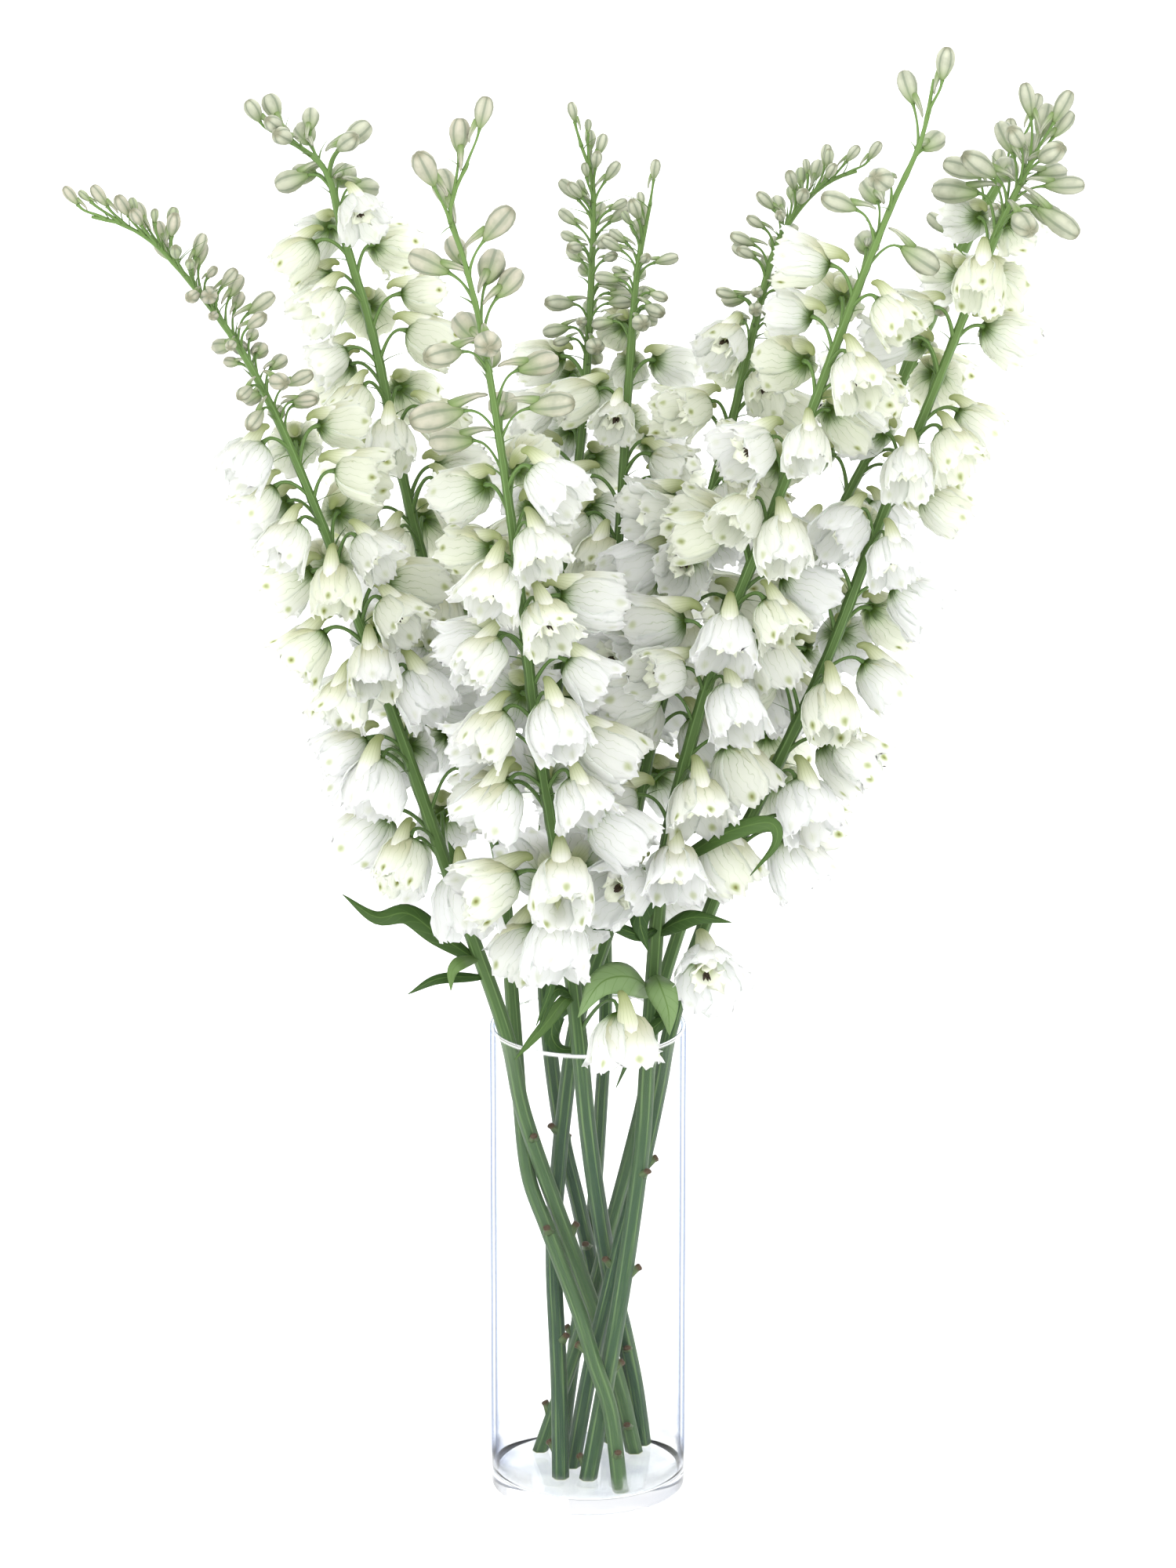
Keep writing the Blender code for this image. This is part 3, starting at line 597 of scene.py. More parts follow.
# How far heads are drawn from the front of their stem, and how much more a floret nods at the front
SWAY = 0.6
DIP = np.radians(24)

# Growth up a spike, from the first floret or bud to the last, and the spread about it
FLORET_SIZES = (1.05, 0.85)
FLORET_STALKS = (1.05, 0.7)
FLORET_DROOPS = (1.0, 0.45)
FLORET_SPREAD = (0.95, 1.05)
FLORET_NOD_SPREAD = (-8, 8)
BUD_SIZES = (1.1, 0.7)
BUD_STALKS = (1.15, 0.75)
BUD_NODS = (12, -43)
BUD_SPREAD = (0.92, 1.08)
BUD_NOD_SPREAD = (-12, 12)
STALK_SPREAD = (0.9, 1.1)


def slot_of(spike, kind, share, s, turn, spread, rng, open_share=0.0, young=0):
    """A floret or bud this share of the way up its part of the stem.

    Its size, nod and stalk change steadily up the spike, and each has its own chance on top.
    """
    floret = kind == "floret"
    own = spike["size"] if floret else spike["bud_size"]
    size = own * grow(FLORET_SIZES if floret else BUD_SIZES, share) * rng.uniform(*spread)
    if floret:
        nod = spike["droop"] * grow(FLORET_DROOPS, share) + rng.uniform(*FLORET_NOD_SPREAD)
        opened = rng.random() < open_share
        stalk = FLORET_STALK * grow(FLORET_STALKS, share) * rng.uniform(*STALK_SPREAD)
    else:
        nod = grow(BUD_NODS, share) + rng.uniform(*BUD_NOD_SPREAD)
        opened = False
        stalk = BUD_STALK * own * grow(BUD_STALKS, share) * rng.uniform(*STALK_SPREAD)
    return {"kind": kind, "open": opened, "young": young, "lead": 0.0 if floret else share**3,
            "s": s, "sway": SWAY, "dip": DIP if floret else 0.0,
            "turn": turn, "nod": np.radians(nod), "stalk": stalk,
            "width": (FLORET_WIDTH if floret else BUD_WIDTH) * size,
            "length": (FLORET_LENGTH if floret else BUD_LENGTH) * size}


def spiral(spike, stem, floret_places, bud_places, turn, spreads, open_share, rng):
    """Florets and then buds at these running lengths, each a golden angle on from the last."""
    low, budding, last = lengths_at(stem, spike["heights"])
    slots = []
    for s in floret_places:
        share = (s - low) / (budding - low)
        slots.append(slot_of(spike, "floret", share, s, turn, spreads[0], rng, open_share))
        turn += GOLDEN_ANGLE
    for s in bud_places:
        share = (s - budding) / (last - budding)
        slots.append(slot_of(spike, "bud", share, s, turn, spreads[1], rng))
        turn += GOLDEN_ANGLE
    return slots


def first_slots(name, stem, rng):
    """The slots of the solids: the hung florets, then florets from the bottom up, then buds."""
    spike = SPIKES[name]
    low, budding, last = lengths_at(stem, spike["heights"])
    hung = [{"kind": "floret", "open": True, "young": 0, "lead": 0.0, "sway": 0.0, "dip": 0.0,
             "turn": np.radians(turn), "s": lengths_at(stem, height), "nod": np.radians(nod),
             "stalk": stalk, "width": width, "length": width}
            for height, turn, stalk, nod, width in spike["hung"]]
    return hung + spiral(spike, stem, np.linspace(low, budding, spike["florets"]),
                         np.linspace(budding, last, spike["buds"] + 1)[1:],
                         np.radians(spike["start"]), (FLORET_SPREAD, BUD_SPREAD), OPEN_SHARE, rng)


# %% Slots that fill in
FILL_SIZE = (0.84, 0.95)
FILL_OPEN_SHARE = 0.25
FILL_STEP = 1.3
FILL_BUDS_END = {"spike_g": 0.3, "spike_c": 0.6}
FILL_BUDS_END_REST = 0.82
YOUNG_SPIKES = ("spike_a", "spike_d", "spike_e", "spike_f")
YOUNG_STEP = 0.8
YOUNG_ENDS = (0.1, 0.97)
YOUNG_SIZE = (0.6, 0.9)
YOUNG_FROM = 0.6


def fill_slots(name, stem, rng):
    """Slots halfway between the first ones, turned on by half a golden angle and a little smaller."""
    spike = SPIKES[name]
    low, budding, last = lengths_at(stem, spike["heights"])
    step = (budding - low) / (spike["florets"] - 1)
    bud_step = (last - budding) / spike["buds"]
    end = grow((budding, last), FILL_BUDS_END.get(name, FILL_BUDS_END_REST))
    return spiral(spike, stem, np.arange(low + step / 2, budding, step * FILL_STEP),
                  np.arange(budding + bud_step / 2, end, bud_step * FILL_STEP),
                  np.radians(spike["start"]) + GOLDEN_ANGLE / 2, (FILL_SIZE, FILL_SIZE), FILL_OPEN_SHARE, rng)


def young_slots(name, stem, rng):
    """Small young buds between the others, at any turn, greener towards the tip of the spike."""
    if name not in YOUNG_SPIKES:
        return []
    spike = SPIKES[name]
    budding, last = lengths_at(stem, spike["heights"][1:])
    step = (last - budding) / spike["buds"] * YOUNG_STEP
    first, end = (grow((budding, last), share) for share in YOUNG_ENDS)
    slots = []
    for s in np.arange(first, end, step):
        share = (s - budding) / (last - budding)
        slots.append(slot_of(spike, "bud", share, s, rng.uniform(0, FULL_TURN), YOUNG_SIZE, rng,
                             young=int(share > YOUNG_FROM)))
    return slots


# %% Place everything
ROUNDS = ((first_slots, 1837), (fill_slots, 5), (young_slots, 11))


def place_round(slots, stems, space, placed):
    """Place one slot of each spike in turn, from the bottom up."""
    for row in zip_longest(*slots):
        for owner, (name, slot) in enumerate(zip(SPIKES, row)):
            item, balls = try_places(space, stems[name], owner, slot) if slot else (None, None)
            if item:
                placed[name].append(item)
                space.add(balls, owner)


def place_all():
    """Every floret and bud, round by round, and how many stand after each round."""
    space = Space()
    stems = {name: stem_of(spike) for name, spike in SPIKES.items()}
    for owner, stem in enumerate(stems.values()):
        every = np.arange(0, stem["length"][-1], STEM_BALL_STEP)
        space.add([(stem_at(stem, s)[0], stem_radius(stem, s) + STEM_MARGIN) for s in every], owner)
    for name, height, route, width, _ in LEAVES:
        line = smooth_route([leaf_root(stems[name], height), *route])[ROUTE_STEPS:]
        space.add([(p, LEAF_BALL_SHARE * width) for p in line], list(SPIKES).index(name))
    placed = {name: [] for name in SPIKES}
    counts = []
    for slots_of, seed in ROUNDS:
        rng = np.random.default_rng(seed)
        place_round([slots_of(name, stems[name], rng) for name in SPIKES], stems, space, placed)
        counts.append(sum(len(items) for items in placed.values()))
    return stems, placed, counts


stems, placed, counts = place_all()
print("florets and buds in the solids:", counts[0], "and after each filling in:", counts[1:])

# %% [markdown]
# ## Mesh helpers
#
# Two kinds of surface make the whole plant. A sheet is a grid of points with a thickness: a petal
# or a leaf. A tube is a ring carried along a path: a stem, stalk, spur or bud. Both are worked out
# for many petals or stalks at once, as whole arrays, and every one is a closed body.

# %% Sheets and tubes
LEAST_SLOPE = 1e-9


def sheet_faces(nu, nv):
    """Faces of one closed sheet: the outer grid, the inner grid turned over, and the rim between."""
    at = np.arange(nu * nv).reshape(nu, nv)
    outer = np.stack([at[:-1, :-1], at[1:, :-1], at[1:, 1:], at[:-1, 1:]], -1).reshape(-1, 4)
    inner = outer[:, ::-1] + nu * nv
    loop = np.concatenate([at[:, 0], at[-1, 1:], at[-2::-1, -1], at[0, -2:0:-1]])
    after = np.roll(loop, -1)
    rim = np.stack([after, loop, loop + nu * nv, after + nu * nv], -1)
    return np.vstack([outer, inner, rim]), np.arange(2 * len(outer) + len(rim)) >= 2 * len(outer)


def sheets(grids, thickness, uv, extra):
    """Closed sheets from grids of mid-surface points, pushed half the thickness each way.

    The push is along the surface's normal, from the cross product of its two slopes.
    """
    count, nu, nv = grids.shape[:3]
    normal = np.cross(np.gradient(grids, axis=1), np.gradient(grids, axis=2))
    normal /= np.maximum(np.linalg.norm(normal, axis=-1, keepdims=True), LEAST_SLOPE)
    points = np.stack([grids + normal * thickness / 2, grids - normal * thickness / 2], axis=1)
    faces, flat = sheet_faces(nu, nv)
    offset = (np.arange(count) * 2 * nu * nv)[:, None, None]
    return {
        "points": points.reshape(-1, 3),
        "faces": [(faces[None] + offset).reshape(-1, 4)],
        "flat": [np.tile(flat, count)],
        "uv": np.broadcast_to(uv[:, None], (*points.shape[:-1], 2)).reshape(-1, 2),
        "chance": np.broadcast_to(extra[:, None, None, None], points.shape[:-1]).reshape(-1),
    }


def tubes(paths, side, across, up, sides, extra, lobes=None):
    """Closed tubes: an ellipse carried along each path and shut by a point at both ends.

    A ring's points are path + across cos(turn) side + up sin(turn) lift, where side and lift are
    square to the path. across and up are given at each step of the path, and lobes multiplies the
    radius round the ring.
    """
    count, steps = paths.shape[:2]
    along = unit(np.gradient(paths, axis=1))
    side = unit(side[:, None] - along * np.sum(side[:, None] * along, -1, keepdims=True))
    lift = np.cross(along, side)
    turn = np.linspace(0, FULL_TURN, sides, endpoint=False)
    swell = 1.0 if lobes is None else lobes(turn)
    rings = (paths[:, :, None]
             + (across[:, :, None] * swell * np.cos(turn))[..., None] * side[:, :, None]
             + (up[:, :, None] * swell * np.sin(turn))[..., None] * lift[:, :, None])
    points = np.concatenate([rings.reshape(count, -1, 3), paths[:, :1], paths[:, -1:]], axis=1)
    at = np.arange(steps * sides).reshape(steps, sides)
    nxt = np.roll(at, -1, axis=1)
    wall = np.stack([at[:-1], nxt[:-1], nxt[1:], at[1:]], -1).reshape(-1, 4)
    first = np.stack([nxt[0], at[0], np.full(sides, steps * sides)], -1)
    last = np.stack([at[-1], nxt[-1], np.full(sides, steps * sides + 1)], -1)
    size = steps * sides + 2
    offset = (np.arange(count) * size)[:, None, None]
    uv = np.zeros((size, 2))
    uv[:-2, 0] = np.tile(np.abs(turn / np.pi - 1), steps)
    uv[:-2, 1] = np.repeat(np.arange(steps) / (steps - 1), sides)
    uv[-1, 1] = 1.0
    caps = np.vstack([first, last])
    return {
        "points": points.reshape(-1, 3),
        "faces": [(wall[None] + offset).reshape(-1, 4), (caps[None] + offset).reshape(-1, 3)],
        "flat": [np.zeros(len(wall) * count, bool), np.zeros(len(caps) * count, bool)],
        "uv": np.tile(uv, (count, 1)),
        "chance": np.repeat(extra, size),
    }


# %% [markdown]
# A piece gathers any number of such parts. Objects could be joined instead, but writing all points
# at once is quicker. The mesh gets the parts' own UV map, with the way along each as V, and a chance
# that is the same all over a petal, bud or stalk, so that no two have quite the same tone. Upper
# sepals and young buds have 1 added to theirs. Rims are flat shaded, so that the thin edge doesn't
# smear the shading of the faces beside it.

# %% Make a mesh of many parts
def write_mesh(name, parts):
    """One mesh, in metres, from parts given in millimetres."""
    starts = np.concatenate([[0], np.cumsum([len(part["points"]) for part in parts])])
    points = np.vstack([part["points"] for part in parts]) * METRES
    loops = []
    totals = []
    flats = []
    for start, part in zip(starts, parts):
        for faces, flat in zip(part["faces"], part["flat"]):
            loops.append((faces + start).reshape(-1))
            totals.append(np.full(len(faces), faces.shape[1]))
            flats.append(flat)
    loops = np.concatenate(loops)
    totals = np.concatenate(totals)
    mesh = bpy.data.meshes.new(name)
    mesh.vertices.add(len(points))
    mesh.vertices.foreach_set("co", points.reshape(-1))
    mesh.loops.add(len(loops))
    mesh.loops.foreach_set("vertex_index", loops)
    mesh.polygons.add(len(totals))
    mesh.polygons.foreach_set("loop_start", np.concatenate([[0], np.cumsum(totals)[:-1]]))
    mesh.polygons.foreach_set("use_smooth", ~np.concatenate(flats))
    uv = np.vstack([part["uv"] for part in parts])
    mesh.uv_layers.new(name="grain").data.foreach_set("uv", uv[loops].reshape(-1))
    chance = np.concatenate([part["chance"] for part in parts])
    mesh.attributes.new("chance", "FLOAT", "POINT").data.foreach_set("value", chance)
    mesh.update()
    mesh.validate()
    return mesh, int((totals - 2).sum())


def make_piece(name, parts, finish, node):
    """A piece that replaces a frame node, rides on the root body and has one finish."""
    mesh, triangles = write_mesh(name, parts)
    mesh.materials.append(finish)
    piece = bpy.data.objects.new(name, mesh)
    bpy.context.scene.collection.objects.link(piece)
    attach(piece, "root")
    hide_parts(node)
    print(name, triangles, "triangles")


# %% [markdown]
# ## Finishes
#
# Petals are pale and thin, and light comes through them. A painted picture of each petal would be
# heavy, so the colour is worked out from the petal's own map: a green star at the base, fine
# grey-green veins along it, and a yellow-green spot near the tip. Part of the shader is
# translucent, which lets the light through without the long wait of real depth.

# %% Shared parts of the finishes
# A row of two numbers below is the range of a smooth step from 0 to 1, and a row of four is its
# range and then its value at each end
BUMP_STRENGTH = 0.5
FINE_DETAIL = 3.0


def new_finish(name):
    """An empty material and its node tree."""
    made = bpy.data.materials.new(name)
    made.use_nodes = True
    made.node_tree.nodes.clear()
    return made, made.node_tree


def thin_shader(tree, tint, roughness, glow, relief=None, depth=0.0002, gloss=0.35):
    """A soft coat with part of its light let through, joined to the material's output."""
    values = {"Base Color": tint, "Roughness": roughness, "Specular IOR Level": gloss}
    if relief is not None:
        bump = add(tree, "ShaderNodeBump", {"Height": relief, "Strength": BUMP_STRENGTH, "Distance": depth})
        values["Normal"] = bump.outputs["Normal"]
    surface = add(tree, "ShaderNodeBsdfPrincipled", values).outputs[0]
    if glow:
        through = add(tree, "ShaderNodeBsdfTranslucent", {"Color": tint}).outputs[0]
        surface = add(tree, "ShaderNodeMixShader", {0: glow, 1: surface, 2: through}).outputs[0]
    add(tree, "ShaderNodeOutputMaterial", {"Surface": surface})


# %% Petal finish
PETAL_COOL = colour(0.942, 0.945, 0.948)
PETAL_CREAM = colour(0.94, 0.95, 0.89)
PETAL_BASE = colour(0.66, 0.76, 0.52)
PETAL_WARM = colour(0.78, 0.78, 0.60)
PETAL_STAR = colour(0.22, 0.36, 0.07)
PETAL_VEIN = colour(0.43, 0.52, 0.32)
PETAL_SPOT = colour(0.52, 0.58, 0.26)
PETAL_MARK = colour(0.30, 0.26, 0.10)
PETAL_EDGE_SHADE = colour(0.84, 0.87, 0.84)
VEIN_COUNT = 6.0
VEIN_WIDTH = 0.2
VEIN_WANDER = 0.34
SPOT_PLACE = 0.86
SPOT_STRETCH = 0.7
PETAL_ROUGHNESS = 0.5
PETAL_GLOW = 0.82
CRUMPLE_DEPTH = 0.0005
CRUMPLE_SCALE = 130.0
CRUMPLE_SHARE = 3.0
VEIN_RIDGE = 0.3
WARM_BY_HEIGHT = (0.42, 0.75, -0.25, 0.35)
PATCH_SCALE = 45.0
PATCH_SHARE = 0.4
CREAM_RANGE = (0.35, 1.1)
UPPER_RANGE = (1.0, 1.5)
UPPER_FADE = (0.25, 0.85, 0.85, 0.0)
WANDER_SCALE = 110.0
VEIN_FADE = (0.15, 0.85, 0.85, 0.15)
STAR_RAY = -0.1
STAR_FADE = (0.02, 0.28, 1.0, 0.0)
SPOT_FADE = (0.01, 0.09, 1.0, 0.0)
SPOT_BY_FLOWER = (0.0, 0.9, 0.15, 0.9)
MARK_FADE = (0.0, 0.035, 1.0, 0.0)
MARK_BY_FLOWER = (0.55, 0.95, 0.0, 0.8)


def petal_finish():
    """White petal: cool or cream by flower and height, with a star, veins and a spot along its map."""
    made, tree = new_finish("petal_finish")
    across, along = grain_of(tree)
    chance = chance_of(tree)
    own = maths(tree, "FRACT", chance)
    own_warm = maths(tree, "ADD", own, ramp(tree, height_of(tree), *WARM_BY_HEIGHT))
    warm = maths(tree, "MULTIPLY_ADD", noise(tree, PATCH_SCALE), PATCH_SHARE, own_warm)
    tint = blend(tree, ramp(tree, warm, *CREAM_RANGE), PETAL_COOL, PETAL_CREAM)
    # The upper sepal has a chance above 1, and it is warmer towards its base
    upper = times(tree, ramp(tree, chance, *UPPER_RANGE), ramp(tree, along, *UPPER_FADE))
    wander = times(tree, maths(tree, "SUBTRACT", noise(tree, WANDER_SCALE), 0.5), VEIN_WANDER)
    line = ramp(tree, waves(tree, maths(tree, "ADD", across, wander), VEIN_COUNT), 0.0, VEIN_WIDTH, 1.0, 0.0)
    rays = maths(tree, "ADD", along, times(tree, line, STAR_RAY))
    # The band along both side edges of each sepal is painted shade, where one sepal lies over the next
    tint = layers(tree, tint, [
        (from_middle(tree, across), 0.40, 0.5, 0.0, 0.6, PETAL_EDGE_SHADE),
        (along, 0.0, 0.45, 0.6, 0.0, PETAL_BASE),
    ])
    tint = blend(tree, upper, tint, PETAL_WARM)
    tint = blend(tree, times(tree, line, ramp(tree, along, *VEIN_FADE)), tint, PETAL_VEIN)
    tint = blend(tree, ramp(tree, rays, *STAR_FADE), tint, PETAL_STAR)
    # The spot and its dark middle fade with the distance from a point near the tip
    apart = times(tree, maths(tree, "SUBTRACT", across, 0.5), SPOT_STRETCH)
    ahead = maths(tree, "SUBTRACT", along, SPOT_PLACE)
    squares = maths(tree, "ADD", times(tree, apart, apart), times(tree, ahead, ahead))
    away = maths(tree, "SQRT", squares)
    spot = times(tree, ramp(tree, away, *SPOT_FADE), ramp(tree, own, *SPOT_BY_FLOWER))
    mark = times(tree, ramp(tree, away, *MARK_FADE), ramp(tree, own, *MARK_BY_FLOWER))
    tint = blend(tree, mark, blend(tree, spot, tint, PETAL_SPOT), PETAL_MARK)
    ridge = times(tree, line, VEIN_RIDGE)
    crumple = noise(tree, CRUMPLE_SCALE, FINE_DETAIL)
    crumple = maths(tree, "MULTIPLY_ADD", crumple, CRUMPLE_SHARE, ridge)
    thin_shader(tree, tint, PETAL_ROUGHNESS, PETAL_GLOW, crumple, CRUMPLE_DEPTH)
    return made


# %% [markdown]
# ### Spurs, inner petals, anthers and buds
#
# These parts are only a few millimetres across, so a colour that changes along each one's map is
# enough: a spur goes from white to olive, and a filament ends in a dark anther. Buds are closed and
# show the green outsides of their sepals, with darker seams between. A painted picture for each
# would be heavier and look no better at this size.

# %% Spur finish
SPUR_FRONT = colour(0.90, 0.905, 0.86)
SPUR_BASE = colour(0.72, 0.75, 0.55)
SPUR_PALE = colour(0.50, 0.54, 0.30)
SPUR_GREEN = colour(0.33, 0.39, 0.15)
SPUR_VEINS = 8.0
SPUR_GLOW = 0.55
SPUR_PATCH_SCALE = 90.0
SPUR_PATCH_SHARE = 0.5
SPUR_DARKENING = 0.6
SPUR_GREEN_RANGE = (0.4, 1.0)
SPUR_LINE = (0.0, 0.3, 0.5, 0.0)
SPUR_LINE_FADE = (0.2, 0.6, 0.2, 1.0)
SOFT_ROUGHNESS = 0.5


def spur_finish():
    """White where the spur leaves the top sepal, then olive towards its tip, with fine lines."""
    made, tree = new_finish("spur_finish")
    across, along = grain_of(tree)
    darker = times(tree, along, SPUR_DARKENING)
    green = maths(tree, "MULTIPLY_ADD", noise(tree, SPUR_PATCH_SCALE), SPUR_PATCH_SHARE, darker)
    tint = blend(tree, ramp(tree, green, *SPUR_GREEN_RANGE), SPUR_PALE, SPUR_GREEN)
    line = ramp(tree, waves(tree, across, SPUR_VEINS), *SPUR_LINE)
    tint = layers(tree, tint, [
        (along, 0.4, 0.75, 1.0, 0.0, SPUR_BASE),
        (along, 0.2, 0.5, 1.0, 0.0, SPUR_FRONT),
    ])
    tint = blend(tree, times(tree, line, ramp(tree, along, *SPUR_LINE_FADE)), tint, SPUR_GREEN)
    thin_shader(tree, tint, SOFT_ROUGHNESS, SPUR_GLOW, line)
    return made


# %% Inner petal and anther finishes
HEART_PALE = colour(0.90, 0.92, 0.80)
HEART_GREEN = colour(0.66, 0.74, 0.36)
HEART_GLOW = 0.35
THROAT_FADE = (0.1, 0.6, 1.0, 0.0)
ANTHER_DARK = colour(0.035, 0.022, 0.012)
ANTHER_PALE = colour(0.70, 0.76, 0.45)
ANTHER_ROUGHNESS = 0.6
ANTHER_RANGE = (0.55, 0.62)


def heart_finish():
    """The small inner petals: pale, and yellow-green in the throat."""
    made, tree = new_finish("heart_finish")
    along = grain_of(tree)[1]
    tint = blend(tree, ramp(tree, along, *THROAT_FADE), HEART_PALE, HEART_GREEN)
    thin_shader(tree, tint, SOFT_ROUGHNESS, HEART_GLOW)
    return made


def anther_finish():
    """Pale filaments that end in dark brown anthers."""
    made, tree = new_finish("anther_finish")
    along = grain_of(tree)[1]
    tint = blend(tree, ramp(tree, along, *ANTHER_RANGE), ANTHER_PALE, ANTHER_DARK)
    thin_shader(tree, tint, ANTHER_ROUGHNESS, 0.0)
    return made


# %% Bud finish
BUD_WHITE = colour(0.49, 0.505, 0.39)
BUD_BEIGE = colour(0.475, 0.45, 0.355)
BUD_SEAM = colour(0.14, 0.18, 0.12)
BUD_SHADE = colour(0.25, 0.275, 0.20)
BUD_YOUNG = colour(0.32, 0.39, 0.22)
BUD_GREEN = colour(0.19, 0.28, 0.09)
BUD_TIP = colour(0.17, 0.17, 0.10)
BUD_LINES = 2.5
BUD_GLOW = 0.3
BUD_MOTTLE = 120.0
SEAM_RANGE = (0.9, 1.0)
SEAM_SHARE = 0.6


def bud_finish():
    """Grey-green or beige bud: green at its stalk, dark along its seams, dull at its tip."""
    made, tree = new_finish("bud_finish")
    around, along = grain_of(tree)
    chance = chance_of(tree)
    wave = waves(tree, around, BUD_LINES)
    seam = ramp(tree, wave, *SEAM_RANGE)
    tint = layers(tree, BUD_WHITE, [
        (maths(tree, "FRACT", chance), 0.3, 1.0, 0.0, 1.0, BUD_BEIGE),
        (chance, 1.0, 1.3, 0.0, 0.8, BUD_YOUNG),
        (noise(tree, BUD_MOTTLE, FINE_DETAIL), 0.4, 0.75, 0.0, 0.6, BUD_SHADE),
        (wave, 0.2, 1.0, 0.0, 0.45, BUD_SHADE),
    ])
    tint = blend(tree, times(tree, seam, SEAM_SHARE), tint, BUD_SEAM)
    tint = layers(tree, tint, [
        (along, 0.0, 0.6, 0.95, 0.0, BUD_GREEN),
        (along, 0.75, 1.0, 0.0, 0.75, BUD_TIP),
    ])
    thin_shader(tree, tint, SOFT_ROUGHNESS, BUD_GLOW, seam)
    return made


# %% [markdown]
# ### Stems and leaves
#
# A stem is painted darker low down, as shade where it stands in the vase, and paler towards its
# flowers, with painted highlights along its ribs and pale streaks along it. One flat green would
# look like plastic. Height gives the change, a stretched noise gives the streaks, and the brown stubs
# of stripped leaves, which share the stem's mesh, are picked out by their chance of 1. Leaves go
# from dark to pale by their own chance.

# %% Stem finish
STEM_LOW_SHADE = colour(0.018, 0.044, 0.023)
STEM_MIDDLE = colour(0.058, 0.104, 0.029)
STEM_HIGH = colour(0.102, 0.168, 0.046)
STEM_LIGHT = colour(0.095, 0.165, 0.048)
STEM_RIB_HIGHLIGHT = colour(0.135, 0.22, 0.078)
STEM_SCAR = colour(0.05, 0.03, 0.015)
PITH = colour(0.34, 0.36, 0.16)
STEM_RIBS = 6
GREEN_ROUGHNESS = 0.45
STEM_GLOSS = 0.15
STREAKS_AROUND = 9.0
STREAKS_ALONG = 12.0
STREAK_SCALE = 1.6
RIB_HIGHLIGHT_RANGE = (0.55, 1.0)
RIB_HIGHLIGHT_BY_STREAK = (0.35, 0.6, 0.2, 0.9)
STUB_RANGE = (0.92, 0.96)
STUB_END = (0.35, 0.7, 0.2, 1.0)


def stem_finish():
    """Green by height and stem, painted shade low down, painted rib highlights, pale streaks, brown leaf
    scars and a pale cut end.
    """
    made, tree = new_finish("stem_finish")
    around, along = grain_of(tree)
    chance = chance_of(tree)
    height = height_of(tree)
    stretched = {"X": times(tree, around, STREAKS_AROUND), "Y": times(tree, along, STREAKS_ALONG)}
    streak_place = add(tree, "ShaderNodeCombineXYZ", stretched).outputs[0]
    streak = noise(tree, STREAK_SCALE, FINE_DETAIL, streak_place)
    rib = maths(tree, "COSINE", times(tree, around, np.pi * STEM_RIBS))
    # Lighter lines on the rib crests are painted highlights, stronger where the streaks are pale
    rib_highlight = times(tree, ramp(tree, rib, *RIB_HIGHLIGHT_RANGE), ramp(tree, streak, *RIB_HIGHLIGHT_BY_STREAK))
    scar = times(tree, ramp(tree, chance, *STUB_RANGE), ramp(tree, along, *STUB_END))
    # The darkest green, low down in the vase, is painted shade, and it turns paler with height
    tint = layers(tree, STEM_LOW_SHADE, [
        (height, 0.18, 0.42, 0.0, 1.0, STEM_MIDDLE),
        (height, 0.55, 0.85, 0.0, 1.0, STEM_HIGH),
        (chance, 0.2, 0.85, 0.0, 0.6, STEM_LIGHT),
        (streak, 0.48, 0.72, 0.0, 0.6, STEM_LIGHT),
    ])
    tint = blend(tree, rib_highlight, tint, STEM_RIB_HIGHLIGHT)
    # More painted shade darkens the stem low down, where it stands in the vase
    tint = layers(tree, tint, [(height, 0.2, 0.45, 0.4, 0.0, STEM_LOW_SHADE)])
    tint = blend(tree, scar, tint, STEM_SCAR)
    tint = layers(tree, tint, [(along, 0.0, 0.0006, 1.0, 0.0, PITH)])
    thin_shader(tree, tint, GREEN_ROUGHNESS, 0.0, streak, gloss=STEM_GLOSS)
    return made


# %% Leaf finish
LEAF_DARK = colour(0.026, 0.062, 0.014)
LEAF_LIGHT = colour(0.09, 0.16, 0.04)
LEAF_PALE = colour(0.17, 0.26, 0.11)
LEAF_GLOSS = 0.2
LEAF_GLOW = 0.2
LEAF_VEINS = 26.0
LEAF_SLANT = 9.0
SIDE_VEIN = (0.0, 0.25, 0.45, 0.0)
MID_RIB = (0.0, 0.05, 1.0, 0.0)


def leaf_finish():
    """Leaf from dark to pale green by chance, with a light mid-rib and side veins that run forwards."""
    made, tree = new_finish("leaf_finish")
    across, along = grain_of(tree)
    chance = chance_of(tree)
    edge = from_middle(tree, across)
    slant = maths(tree, "SUBTRACT", times(tree, along, LEAF_VEINS), times(tree, edge, LEAF_SLANT))
    side = ramp(tree, maths(tree, "ABSOLUTE", maths(tree, "SINE", slant)), *SIDE_VEIN)
    tint = layers(tree, LEAF_DARK, [
        (chance, 0.0, 1.0, 0.0, 1.0, LEAF_LIGHT),
        (chance, 1.0, 2.0, 0.0, 1.0, LEAF_PALE),
    ])
    veins = maths(tree, "MAXIMUM", ramp(tree, edge, *MID_RIB), side)
    tint = blend(tree, veins, tint, LEAF_LIGHT)
    thin_shader(tree, tint, GREEN_ROUGHNESS, LEAF_GLOW, side, gloss=LEAF_GLOSS)
    return made
